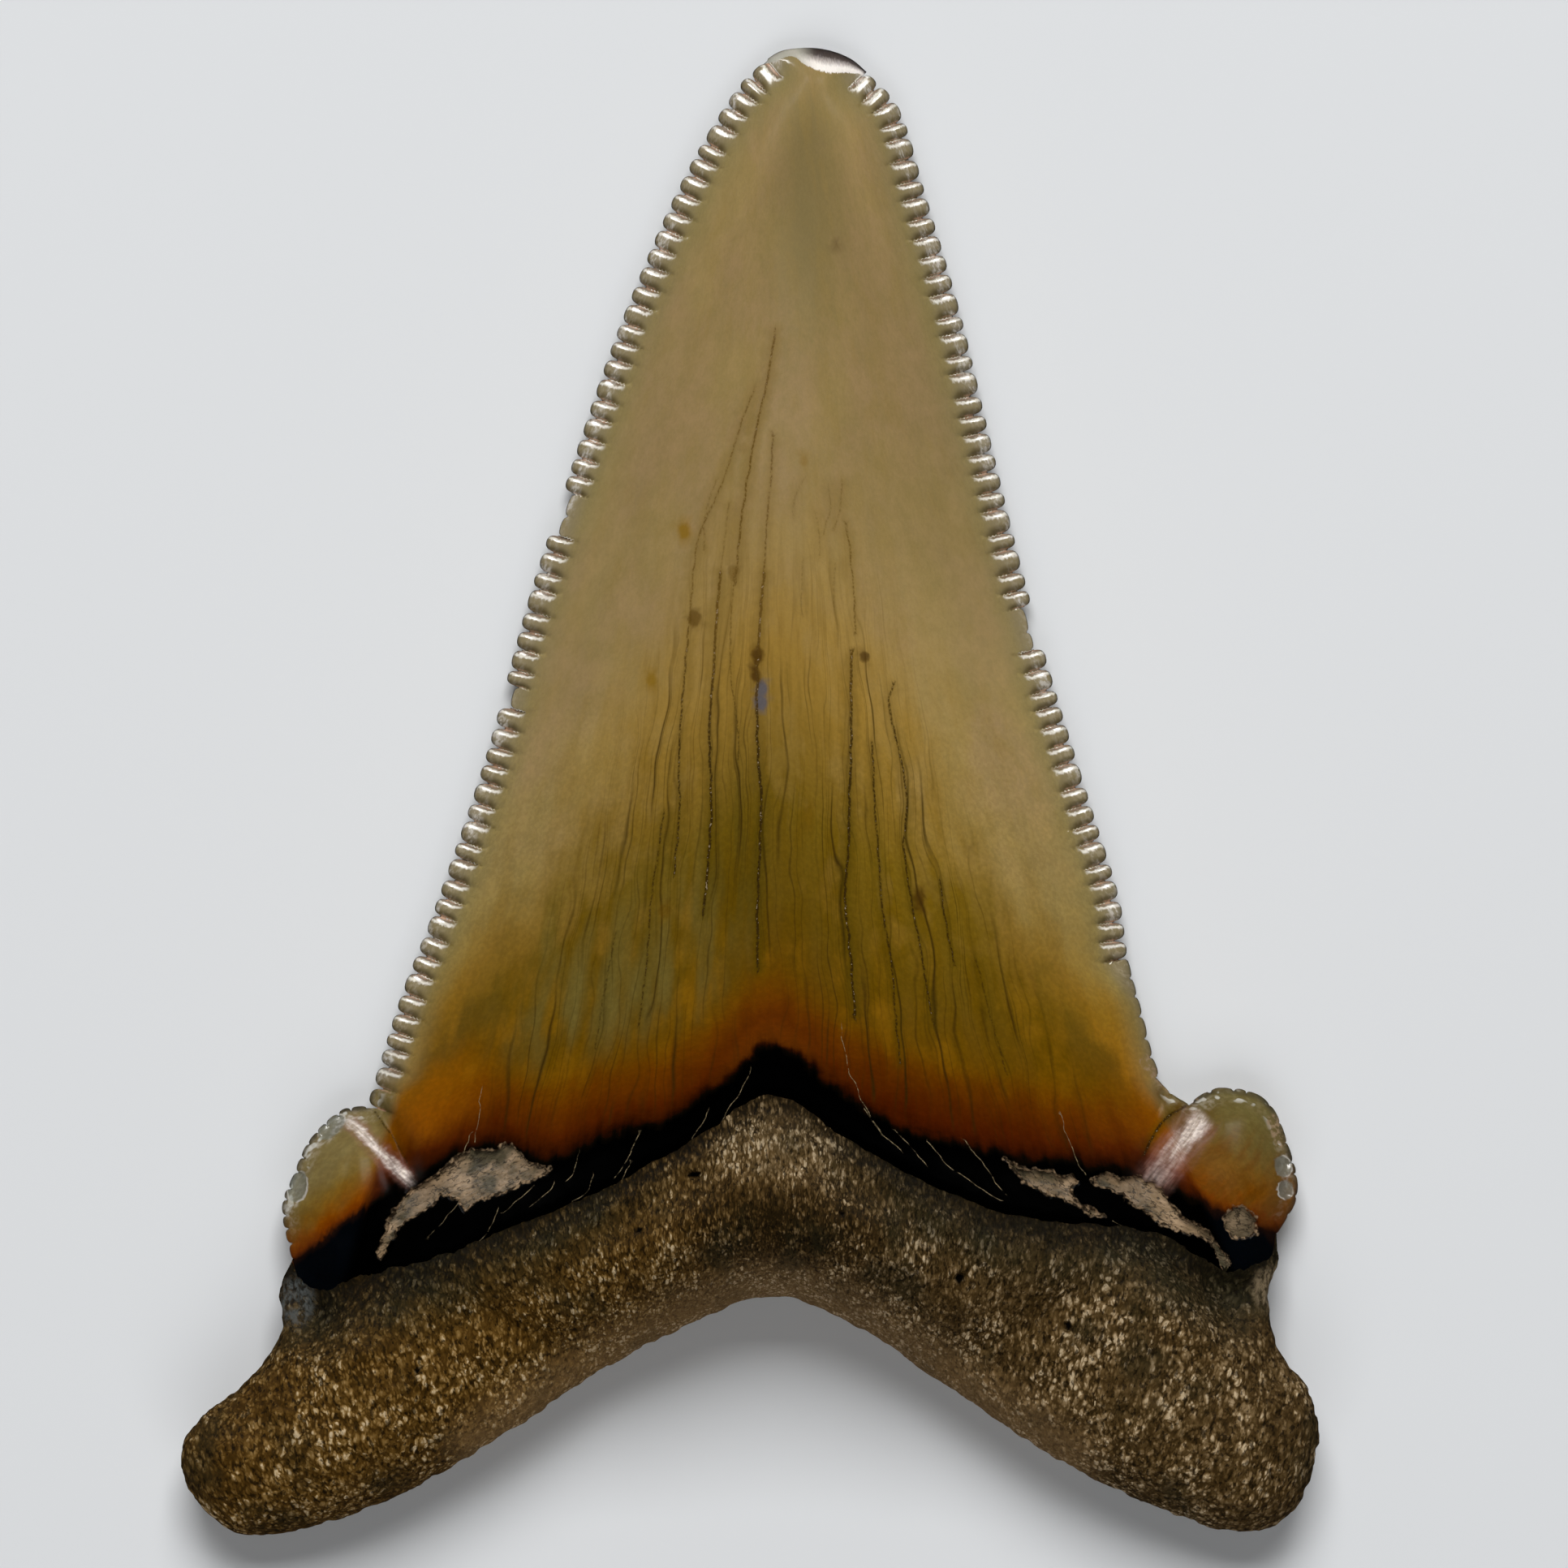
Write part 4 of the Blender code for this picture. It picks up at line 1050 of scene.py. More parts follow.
        return {
            "place": np.stack([fan, y, edge_depth], 1),
            "zones": np.stack([above, flank, cusplet], 1),
            "marks": np.stack([cracks, veins, glass], 1),
            "tints": np.stack([core * seen_side, streak, labial], 1),
            "stains": np.stack([dark, tint, flake_edge], 1),
            "edges": np.stack([upper, np.clip(facet, -1, 3), halo], 1),
            "strips": np.stack([along_strip, off_strip, np.zeros(len(x))], 1),
        }


# Root


@dataclass
class Root(Skin):
    """The root, with the core that runs on under the enamel and shows in the flaked patches."""

    fine_rows: tuple[float, ...] = (0.05, 0.14, 0.28, 0.46)
    rows: tuple[float, ...] = ()
    closing: Line = (
        (24.9, -21.1), (24.4, -19.6), (22.6, -17.2), (19.6, -16.9), (12, -15.9), (6.1, -14),
        (0.96, -10.6), (-4.4, -14.2), (-9.4, -15.8), (-12.2, -15.3), (-15.9, -16.9), (-19, -18.8),
        (-21, -20.8), (-21.7, -22.3))
    front_step: float = 0.15
    back_step: float = 0.32
    ledge: float = 0.05
    core_depth: float = 0.13
    core_relief: float = 0.09
    pits: tuple[Dome, ...] = (
        Dome((-2.6, -18.0), 1.3, 0.36, 0.16, 0.5), Dome((9.8, -22.9), 0.4, 0.3, 0.25, 0.4),
        Dome((-5.2, -20.6), 0.8, 0.2, 0.14, 0.25), Dome((4.3, -19.8), 0.2, 0.16, 0.14, 0.25),
        Dome((14.9, -25.2), 0.0, 0.22, 0.16, 0.3), Dome((-15.6, -27.3), 0.5, 0.2, 0.15, 0.25))

    def stations(self) -> Stations:
        """The ragged edge of the root and the closing line inside the crown."""
        edge = plain_stretch(self.form.root, 0.14, ragged=0.16)
        return Stations.joined([edge, plain_stretch(self.closing, 0.3)])

    def grain_ways(self, x: Array, y: Array) -> tuple[Array, Array]:
        """Coordinates across and along the grain, which leans outwards on both lobes."""
        lean = 0.35 * np.tanh((x - 1) / 10)
        return x * np.cos(lean) - y * np.sin(lean), x * np.sin(lean) + y * np.cos(lean)

    def grain(self, x: Array, y: Array) -> Array:
        """The relief of the bare root, in mm and never above 0.

        Args:
            x: Across.
            y: Up the tooth.

        Returns:
            The relief.
        """
        u, v = self.grain_ways(x, y)
        coarse = layered_noise(u * 1.1, v * 0.8, 51, 2)
        middle = layered_noise(u * 2.6, v * 1.7, 54, 2)
        fine = value_noise(u * 5.2, v * 3.2, 57)
        pitted = eased(value_noise(u * 3.1, v * 2.1, 59), 0.45, 0.9)
        return 0.05 * (coarse - 1) + 0.05 * (middle - 1) + 0.06 * (fine - 1) - 0.07 * pitted

    def details(self, front: bool) -> list[tuple[Array, float]]:
        """An even grid, finer on the front."""
        step = self.front_step if front else self.back_step
        return [(grid(step, (-27.5, -36.0), (27.5, -10.0)), 0.7 * step)]

    def surface(self, x: Array, y: Array, front: bool) -> Array:
        """The root's heights, with its ledge below the band, and the core's under the enamel.

        Args:
            x: Across.
            y: Up the tooth.
            front: True for the front face.

        Returns:
            The heights in mm.
        """
        form = self.form
        depth = form.depth(x, y)
        calm = np.clip(depth / 0.8, 0.25, 1)
        if not front:
            below = form.below_labial_foot(x, y)
            under = self.core_depth * eased(below, 0.0, -0.4)
            ledge = 0.25 * eased(below, 0, 0.5) * eased(below, form.blend_width, 0)
            ledge = ledge * np.clip(depth - 1, 0, 1)
            return form.back(x, y) + under + ledge - self.grain(x, y) * 0.5 * calm
        below = form.below_foot(x, y)
        z = form.front(x, y) - form.band_sink * eased(form.below_top(x, y), -0.3, 0.6)
        z += self.ledge * eased(below, 0, 0.5) * np.clip(depth, 0, 1)
        z -= self.core_depth * eased(below, 0.0, -0.35)
        rough = layered_noise(x * 1.8 + y, y * 3.4, 71, 3) * eased(below, 0.1, -0.2)
        z += self.core_relief * rough
        z += self.grain(x, y) * calm * eased(below, -0.1, 1.2)
        for pit in self.pits:
            z -= pit.height * np.sqrt(pit.at(x, y))
        return z

    def attributes(self, x: Array, y: Array, front: Array, notch: Array) -> dict[str, Array]:
        """Where each point is for the finish, with the relief that its colour follows and the painted light
        and shade of the bulge.

        Args:
            x: Across.
            y: Up the tooth.
            front: 1 on the front face, 0.5 on the rim and 0 on the back.
            notch: Where each lies across its lobe, from -1 to 1; not used here.

        Returns:
            The values of each attribute by name.
        """
        form = self.form
        u, v = self.grain_ways(x, y)
        relief = (self.grain(x, y) + 0.32) / 0.3
        # Painted light on the crest of the root's bulge, less a band of painted shade below it where the
        # surface turns down
        crest_light_and_shade = np.clip(1 - ((x - 1.5) / 4.2) ** 2 - ((y + 17.0) / 2.9) ** 2, 0, 1)
        crest_light_and_shade -= 1.7 * np.clip(1 - ((x - 1.7) / 6.0) ** 2 - ((y + 20.2) / 2.5) ** 2, 0, 1)
        hole = np.zeros(len(x))
        for pit in self.pits:
            hole = np.maximum(hole, np.clip(pit.at(x, y) * 3, 0, 1))
        arch = eased(distance_to(smooth_curve(form.root[9:16]), x, y), 2.8, 0.3)
        corners = eased(np.hypot(x + 21.5, (y + 24.2) * 0.8), 1.3, 0.3)
        corners -= eased(np.hypot(x - 24.5, (y + 23.6) * 0.8), 1.2, 0.2)
        below = np.where(front > 0.4, form.below_foot(x, y), form.below_labial_foot(x, y))
        return {
            "place": np.stack([u, v, form.depth(x, y)], 1),
            "zones": np.stack([below, arch, hole], 1),
            "marks": np.stack([relief, crest_light_and_shade, corners], 1),
        }


# Words for shader nodes


def srgb(red: float, green: float, blue: float) -> Colour:
    """A colour given as it looks, 0 to 255, as the linear values that a shader takes."""
    levels = (red / 255, green / 255, blue / 255)
    return tuple(((c + 0.055) / 1.055) ** 2.4 if c > 0.0405 else c / 12.92 for c in levels)


def seen(red: float, green: float, blue: float) -> Colour:
    """The colour that a surface needs to look like this one, 0 to 255, under the lights."""
    return tuple(min(1.0, c / LIGHT_SHARE) for c in srgb(red, green, blue))


@dataclass(frozen=True)
class Value:
    """What comes out of a node, so that the sums of a shader are written as plain sums."""

    graph: "Graph"
    socket: bpy.types.NodeSocket

    def __add__(self, other: "Term") -> "Value":
        """The sum of both."""
        return self.graph.math("ADD", self, other)

    def __sub__(self, other: "Term") -> "Value":
        """This less the other."""
        return self.graph.math("SUBTRACT", self, other)

    def __rsub__(self, other: "Term") -> "Value":
        """The other less this."""
        return self.graph.math("SUBTRACT", other, self)

    def __mul__(self, other: "Term") -> "Value":
        """The product of both."""
        return self.graph.math("MULTIPLY", self, other)

    def __truediv__(self, other: "Term") -> "Value":
        """This divided by the other."""
        return self.graph.math("DIVIDE", self, other)

    def __abs__(self) -> "Value":
        """This without its sign."""
        return self.graph.math("ABSOLUTE", self)

    def most(self, other: "Term") -> "Value":
        """The larger of both."""
        return self.graph.math("MAXIMUM", self, other)

    def least(self, other: "Term") -> "Value":
        """The smaller of both."""
        return self.graph.math("MINIMUM", self, other)

    def share_of(self, whole: float) -> "Value":
        """This as a share of a whole, held between 0 and 1."""
        return self.graph.math("DIVIDE", self, whole, clamp=True)

    def step(self, low: float, high: float, soft: bool = True) -> "Value":
        """0 up to low and 1 from high on, or the other way round when low is above high.

        Args:
            low: where the mask is 0.
            high: where it is 1.
            soft: whether it starts and ends gently.

        Returns:
            The mask.
        """
        ends = {"From Min": min(low, high), "From Max": max(low, high)}
        turned = {"To Min": float(low > high), "To Max": float(low < high)}
        kind = "SMOOTHSTEP" if soft else "LINEAR"
        return self.graph.value("MapRange", {"Value": self, **ends, **turned}, interpolation_type=kind)

    def scaled(self, factor: "Term") -> "Value":
        """This vector or colour with all its parts multiplied by one factor."""
        return self.graph.value("VectorMath", {0: self, "Scale": factor}, operation="SCALE")

    def stretched(self, x: float, y: float, z: float) -> "Value":
        """This vector with each part multiplied by its own number."""
        return self.graph.value("VectorMath", {0: self, 1: (x, y, z)}, operation="MULTIPLY")

    def painted(self, *layers: tuple["Term", "Term"]) -> "Value":
        """This colour with others laid over it in turn.

        Args:
            *layers: the share that each covers, and its colour.

        Returns:
            The colour on top.
        """
        colour = self
        for share, other in layers:
            colour = self.graph.mix(share, colour, other)
        return colour


Term = Value | float | Colour


@dataclass(frozen=True)
class Graph:
    """A node tree that is filled in with a few plain words."""

    tree: bpy.types.NodeTree

    def node(self, kind: str, values: dict[str | int, Term], **settings: object) -> bpy.types.Node:
        """Adds a node.

        Args:
            kind: the node's type, without the word ShaderNode in front.
            values: what goes to its inputs.
            **settings: the node's own properties.

        Returns:
            The node.
        """
        node = self.tree.nodes.new("ShaderNode" + kind)
        for name, value in settings.items():
            setattr(node, name, value)
        for name, value in values.items():
            self.feed(node.inputs[name], value)
        return node

    def feed(self, socket: bpy.types.NodeSocket, value: Term) -> None:
        """Fills a socket.

        Args:
            socket: the socket, of a node of this tree.
            value: a node's output, which is linked to it, or a number or colour, which is set.
        """
        if isinstance(value, Value):
            self.tree.links.new(value.socket, socket)
        elif isinstance(value, tuple) and socket.type == "RGBA":
            socket.default_value = (*value, 1.0)[:4]
        else:
            socket.default_value = value

    def value(self, kind: str, values: dict[str | int, Term], output: str | int = 0,
              **settings: object) -> Value:
        """Adds a node, as node does, and gives back one of its outputs."""
        return Value(self, self.node(kind, values, **settings).outputs[output])

    def math(self, operation: str, a: Term, b: Term = 0.0, clamp: bool = False) -> Value:
        """A sum of one or two values, held between 0 and 1 when it is clamped."""
        return self.value("Math", {0: a, 1: b}, operation=operation, use_clamp=clamp)

    def mix(self, share: Term, a: Term, b: Term, blend: str = "MIX") -> Value:
        """A colour between two others, from a at share 0 to b at 1."""
        return self.value("Mix", {0: share, 6: a, 7: b}, 2, data_type="RGBA", blend_type=blend)

    def between(self, value: Value, low: Value, high: Value) -> Value:
        """A mask that rises softly from 0 at low to 1 at high, where both are values too."""
        ends = {"Value": value, "From Min": low, "From Max": high}
        return self.value("MapRange", ends, interpolation_type="SMOOTHSTEP")

    def ramp(self, value: Value, stops: Ramp) -> Value:
        """A colour that changes along a value from 0 to 1.

        Args:
            value: the value.
            stops: places along it, each with its colour.

        Returns:
            The colour.
        """
        node = self.node("ValToRGB", {"Fac": value})
        ramp = node.color_ramp
        while len(ramp.elements) < len(stops):
            ramp.elements.new(0.5)
        for element, (place, colour) in zip(ramp.elements, stops):
            element.position = place
            element.color = (*colour, 1)
        return Value(self, node.outputs[0])

    def parts(self, vector: Value) -> list[Value]:
        """The three parts of a vector."""
        return [Value(self, output) for output in self.node("SeparateXYZ", {0: vector}).outputs]

    def vector(self, *parts: Value) -> Value:
        """A vector made of its parts, with 0 for those that aren't given."""
        return self.value("CombineXYZ", dict(enumerate(parts)))

    def attribute(self, name: str) -> tuple[Value, list[Value]]:
        """A mesh attribute as a vector, and its three parts."""
        vector = self.value("Attribute", {}, "Vector", attribute_name=name)
        return vector, self.parts(vector)

    def noise(self, vector: Value, scale: float, detail: float = 2.0, roughness: float = 0.5) -> Value:
        """Blender's noise, as a value round 0.5."""
        values = {"Vector": vector, "Scale": scale, "Detail": detail, "Roughness": roughness}
        return self.value("TexNoise", values)

    def group(self, group: bpy.types.NodeTree, **values: Term) -> Value:
        """Places a shared group, fills its inputs and gives back its one output.

        Args:
            group: The node group.
            values: What goes into its inputs, by name.

        Returns:
            The output.
        """
        node = self.tree.nodes.new("ShaderNodeGroup")
        node.node_tree = group
        for name, value in values.items():
            self.feed(node.inputs[name], value)
        return Value(self, node.outputs[0])


class Effect(Enum):
    """The effects that several finishes share, each a node group."""

    MOTTLE = "soft mottling"
    STREAKS = "long streaks"
    HAIRLINES = "hairlines"
    GRAIN = "fine grain"


@dataclass
class Effects:
    """The shared node groups, each built once when it is first asked for."""

    made: dict[Effect, bpy.types.NodeTree] = field(default_factory=dict)

    def get(self, effect: Effect) -> bpy.types.NodeTree:
        """The group of an effect."""
        if effect not in self.made:
            build = {Effect.MOTTLE: self.mottle, Effect.STREAKS: self.streaks,
                     Effect.HAIRLINES: self.hairlines, Effect.GRAIN: self.grain}
            self.made[effect] = build[effect]()
        return self.made[effect]

    @staticmethod
    def start(effect: Effect, numbers: dict[str, float],
              output: str = "Float") -> tuple[Graph, list[Value], bpy.types.NodeSocket]:
        """Starts a group that takes a vector and some numbers.

        Args:
            effect: the effect that it makes.
            numbers: the name and the starting value of each number.
            output: the type of its one output.

        Returns:
            The graph inside the group, its inputs and the socket that takes its result.
        """
        tree = bpy.data.node_groups.new(effect.value, "ShaderNodeTree")
        tree.interface.new_socket(name="Vector", in_out="INPUT", socket_type="NodeSocketVector")
        for name, value in numbers.items():
            socket = tree.interface.new_socket(name=name, in_out="INPUT", socket_type="NodeSocketFloat")
            socket.default_value = value
        tree.interface.new_socket(name="Result", in_out="OUTPUT", socket_type="NodeSocket" + output)
        graph = Graph(tree)
        given, result = tree.nodes.new("NodeGroupInput"), tree.nodes.new("NodeGroupOutput")
        return graph, [Value(graph, out) for out in given.outputs[:len(numbers) + 1]], result.inputs[0]

    def mottle(self) -> bpy.types.NodeTree:
        """Soft patches: a mask from 0 to 1 between two levels of a layered noise."""
        numbers = {"Scale": 1.0, "Low": 0.4, "High": 0.6}
        graph, (vector, scale, low, high), result = self.start(Effect.MOTTLE, numbers)
        value = graph.value("TexNoise", {"Vector": vector, "Scale": scale, "Detail": 3.0})
        graph.feed(result, graph.between(value, low, high))
        return graph.tree

    def streaks(self) -> bpy.types.NodeTree:
        """Long thin streaks down the tooth: a mask that is 1 on them, stretched along Y."""
        numbers = {"Across": 3.0, "Along": 0.1, "Low": 0.55, "High": 0.7}
        graph, (vector, across, along, low, high), result = self.start(Effect.STREAKS, numbers)
        x, y, _ = graph.parts(vector)
        value = graph.noise(graph.vector(x * across, y * along), 1.0, 2.5, 0.55)
        graph.feed(result, graph.between(value, low, high))
        return graph.tree

    def hairlines(self) -> bpy.types.NodeTree:
        """Thin lines down the tooth that waver and fade out: a mask that is 1 on them."""
        graph, (vector, lines, width), result = self.start(Effect.HAIRLINES, {"Across": 1.0, "Width": 0.07})
        x, y, _ = graph.parts(vector)
        level = (x + graph.noise(vector.stretched(0.5, 0.16, 0.0), 1.0) * 1.6) * lines
        line = graph.math("FLOOR", level)
        pick = graph.value("TexWhiteNoise", {"W": line}, "Value", noise_dimensions="1D")
        away = abs(graph.math("FRACT", level) - (pick * 0.6 + 0.2))
        mask = graph.value("MapRange", {"Value": away, "From Min": width, "From Max": 0.0})
        row = graph.vector(line * 7.3, y)
        faded = graph.noise(row.stretched(1.0, 0.13, 0.0), 1.0).step(0.42, 0.6)
        graph.feed(result, mask * faded)
        return graph.tree

    def grain(self) -> bpy.types.NodeTree:
        """A fine rough relief, as a normal."""
        numbers = {"Scale": 5.0, "Strength": 0.3, "Distance": 0.00005}
        graph, (vector, scale, strength, distance), result = self.start(Effect.GRAIN, numbers, "Vector")
        height = graph.value("TexNoise", {"Vector": vector, "Scale": scale, "Detail": 2.0, "Roughness": 0.45})
        bump = graph.value("Bump", {"Height": height, "Strength": strength, "Distance": distance})
        graph.feed(result, bump)
        return graph.tree


# Finishes


def start_material(name: str, **settings: object) -> tuple[bpy.types.Material, Graph, bpy.types.Node]:
    """Starts a material.

    Args:
        name: its name.
        **settings: the shader's uniform values, with _ for each space of a socket's name.

    Returns:
        The material, its graph and its shader.
    """
    material = bpy.data.materials.new(name)
    material.use_nodes = True
    shader = material.node_tree.nodes["Principled BSDF"]
    for socket, value in settings.items():
        shader.inputs[socket.replace("_", " ")].default_value = value
    return material, Graph(material.node_tree), shader


@dataclass(frozen=True)
class Finish:
    """What the finishes have in common: the shared effects, in short words."""

    effects: Effects

    def mottle(self, vector: Value, scale: float, low: float, high: float) -> Value:
        """A mask of soft patches."""
        group = self.effects.get(Effect.MOTTLE)
        return vector.graph.group(group, Vector=vector, Scale=scale, Low=low, High=high)

    def streaks(self, vector: Value, across: float, along: float, low: float, high: float) -> Value:
        """A mask of long streaks."""
        group = self.effects.get(Effect.STREAKS)
        return vector.graph.group(group, Vector=vector, Across=across, Along=along, Low=low, High=high)

    def rough(self, vector: Value, scale: float, strength: float, distance: float) -> Value:
        """The normal of a fine rough relief."""
        group = self.effects.get(Effect.GRAIN)
        return vector.graph.group(group, Vector=vector, Scale=scale, Strength=strength, Distance=distance)


@dataclass(frozen=True)
class Spot:
    """A point of the enamel as its shader knows it: where it is, and the random patterns there."""

    graph: Graph
    place: Value
    # How far it is to the right in lines that meet above the tip, its own y, and how far within the edge
    fan: Value
    y: Value
    depth: Value
    # Its height above the band, how far out it is from the crown's middle, and whether it is on a cusplet
    above: Value
    across: Value
    cusplet: Value
    # Its height above the band made uneven, and the mask of what lies well above
    rise: Value
    lit: Value
    thin: Value
    wide: Value
    patches: Value
    cloudy: Value
    speckle: Value
    small: Value
    gritty: Value


@dataclass(frozen=True)
class EnamelFinish(Finish):
    """Glossy fossil enamel: khaki, olive and orange over black, with cracks, stains and pearly edges."""

    # Each colour goes with its height above the band, as a share of the ramp's reach
    flank: Ramp = (
        (0.1, seen(136, 80, 0)), (0.3, seen(132, 100, 24)), (0.5, seen(144, 120, 62)),
        (0.75, seen(148, 124, 72)), (1.0, seen(147, 124, 78)))
    core: Ramp = (
        (0.1, seen(92, 56, 0)), (0.3, seen(94, 68, 1)), (0.5, seen(106, 82, 14)), (0.63, seen(126, 98, 34)),
        (0.8, seen(144, 113, 48)), (1.0, seen(148, 122, 68)))
    heat: Ramp = (
        (0.0, seen(0, 0, 0)), (0.06, seen(8, 4, 1)), (0.14, seen(42, 12, 0)), (0.3, seen(74, 27, 0)),
        (0.55, seen(92, 44, 0)), (0.8, seen(100, 56, 0)), (1.0, seen(108, 68, 1)))
    cusplet: Ramp = (
        (0.0, seen(2, 4, 7)), (0.04, seen(26, 12, 6)), (0.08, seen(104, 46, 1)), (0.14, seen(122, 64, 2)),
        (0.24, seen(120, 82, 18)), (0.34, seen(114, 90, 32)), (0.48, seen(116, 102, 56)),
        (0.7, seen(110, 98, 56)))
    # From the upper to the lower boundary of the chipped facet at the tip: painted shade at the top, where
    # the facet faces away, up to a painted highlight at its lower edge
    facet: Ramp = (
        (0.0, seen(46, 38, 34)), (0.3, seen(80, 70, 66)), (0.5, seen(172, 162, 156)),
        (0.72, seen(248, 240, 232)))
    facet_side: Colour = seen(176, 172, 158)
    ramp_reach: float = 24.0
    heat_reach: float = 4.0
    cusplet_reach: float = 8.0
    pink: Colour = seen(146, 120, 84)
    shade: Colour = seen(122, 107, 62)
    brown: Colour = seen(86, 62, 1)
    grey_green: Colour = seen(104, 94, 46)
    dark_green: Colour = seen(56, 50, 6)
    gold: Colour = seen(140, 96, 14)
    tip_olive: Colour = seen(119, 104, 64)
    scorch: Colour = seen(64, 26, 0)
    glow: Colour = seen(104, 52, 2)
    dusk: Colour = seen(56, 14, 0)
    ember: Colour = seen(154, 88, 2)
    cusplet_olive: Colour = seen(98, 88, 46)
    cusplet_burnt: Colour = seen(86, 54, 1)
    cusplet_stroke: Colour = seen(96, 54, 1)
    cusplet_pale: Colour = seen(140, 120, 76)
    freckle: Colour = seen(92, 66, 20)
    labial: Colour = seen(140, 118, 74)
    labial_patch: Colour = seen(118, 98, 52)
    labial_foot: Colour = seen(96, 56, 20)
    valley: Colour = seen(136, 126, 82)
    lobe: Colour = seen(134, 122, 96)
    # Painted shade for the lower side of each lobe
    under: Colour = seen(84, 69, 34)
    above_shine: Colour = seen(122, 100, 86)
    # Painted highlight along the upper part of each lobe
    shine: Colour = seen(236, 230, 218)
    pearl: Colour = seen(200, 194, 184)
    crumb: Colour = seen(184, 146, 118)
    dark_rim: Colour = seen(60, 56, 48)
    glint: Colour = seen(206, 204, 194)
    gleam_edge: Colour = seen(140, 100, 88)
    gleam_core: Colour = seen(232, 220, 210)
    line: Colour = seen(90, 65, 20)
    low_line: Colour = seen(46, 31, 5)
    soaked: Colour = seen(114, 90, 38)
    low_soaked: Colour = seen(74, 58, 4)
    yellow_stain: Colour = seen(132, 98, 8)
    blue_stain: Colour = seen(82, 80, 86)
    dark_stain: Colour = seen(62, 38, 8)
    # Painted glints: pale specks along the cracks
    crack_glint: Colour = seen(152, 134, 104)
    vein: Colour = seen(132, 117, 88)
    chip: Colour = seen(148, 124, 96)
    glass: Colour = seen(124, 128, 118)
    # Each set of hairlines: how many to a millimetre, their width as a share of the space, their strength
    hairs: tuple[tuple[float, float, float], ...] = ((0.95, 0.085, 0.9), (2.1, 0.1, 0.55), (3.3, 0.12, 0.35))

    def spot(self, graph: Graph) -> Spot:
        """Reads what the mesh says of each point and adds the random patterns.

        Args:
            graph: the material's graph.

        Returns:
            All of it, by name.
        """
        place, (fan, y, depth) = graph.attribute("place")
        _, (above, across, cusplet) = graph.attribute("zones")
        thin = self.streaks(place, 2.4, 0.3, 0.4, 0.68)
        small = self.mottle(place, 0.9, 0.3, 0.75)
        rise = above + (thin - 0.45) * -0.22 + (small - 0.5) * 0.35
        return Spot(
            graph, place, fan, y, depth, above, across, cusplet, rise, rise.step(0.6, 2.6), thin,
            wide=self.streaks(place, 0.75, 0.13, 0.36, 0.64),
            patches=self.mottle(place, 0.16, 0.38, 0.62),
            cloudy=self.mottle(place, 0.55, 0.3, 0.7),
            speckle=self.mottle(place, 1.7, 0.35, 0.7),
            small=small,
            gritty=self.mottle(place, 4.5, 0.42, 0.62))

    def crown(self, at: Spot) -> Value:
        """The colours of the upper crown: khaki flanks, an olive middle and gold between them.

        Args:
            at: the point.

        Returns:
            The colour.
        """
        _, (core, streak, _) = at.graph.attribute("tints")
        height = at.above.share_of(self.ramp_reach)
        high, low = at.above.step(5, 14), at.above.step(16, 6)
        flank = at.graph.ramp(height, self.flank).painted(
            (at.patches * at.above.step(9, 20) * 0.6, self.pink),
            (at.cloudy * high * 0.34, self.shade),
            (at.speckle * high * 0.26, self.shade),
            (streak * 0.8, self.tip_olive))
        leftward = at.fan.step(0.5, -3.5) * at.fan.step(-11.5, -9)
        inner = at.graph.ramp(height, self.core).painted(
            ((1 - at.wide) * low * 0.5, self.brown),
            (at.wide * low * at.above.step(2.5, 6.5) * (leftward * 0.6 + 0.12), self.grey_green),
            (at.thin * 0.2, self.brown),
            (core.step(0.98, 1.45) * (at.wide + 0.25) * 0.6, self.dark_green))
        ragged = core + (at.thin - 0.4) * 0.08 + (at.wide - 0.5) * 0.25 + (at.cloudy - 0.5) * 0.25
        rim = ragged.step(0, 0.5) * ragged.step(1, 0.5) * at.above.step(16, 8)
        body = at.graph.mix(ragged.step(0, 1, soft=False), flank, inner)
        return body.painted((rim * (at.above.step(9, 4) * 0.3 + 0.25), self.gold))

    def burnt(self, body: Value, at: Spot) -> Value:
        """Adds the burnt colours above the band, from black over dark red to orange.

        Args:
            body: the colour so far.
            at: the point.

        Returns:
            The colour.
        """
        fan, rise = at.fan, at.rise
        heat = at.graph.ramp(rise.share_of(self.heat_reach), self.heat)
        glow = abs(fan).step(2.8, 0.6) * rise.step(0.35, 0.9) * rise.step(1.9, 1.2)
        dusk = fan.step(2, 4.5) * fan.step(11.5, 8) * rise.step(4.2, 1.8) * rise.step(0.1, 0.9)
        ember = abs(fan - 1.2).step(10.5, 13.5) * rise.step(1, 2.6) * rise.step(6, 3.6)
        return body.painted(
            (rise.step(4.8, 2.6), heat.painted((at.wide * rise.step(0.3, 1.2) * 0.3, self.scorch))),
            (glow * 0.5, self.glow),
            (dusk * 0.5, self.dusk),
            (ember * (at.cloudy * 0.16 + 0.34), self.ember))

    @staticmethod
    def lift(at: Spot) -> Value:
        """How much a point is brightened, mostly to make up for faces that lean away from the light.

        Args:
            at: the point.

        Returns:
            The factor.
        """
        fan, above, across = at.fan, at.above, at.across
        # The steep wall behind the serrated edge
        wall = at.depth.step(1.1, 1.9) * at.depth.step(4.2, 2.4) * above.step(3, 6)
        sunny = fan.step(0.5, 6) * above.step(31, 22)
        paler = across.step(0.45, 0.75) * above.step(14, 18) * above.step(29, 24)
        midway = fan.step(3, 5.5) * fan.step(10.5, 7.5) * above.step(7, 10) * above.step(17, 13)
        lift = across.step(0.3, 0.95) * 0.08 + wall * 0.2 + 1.0 + sunny * 0.14
        return lift - above.step(34, 41) * 0.07 + paler * 0.06 + midway * 0.11

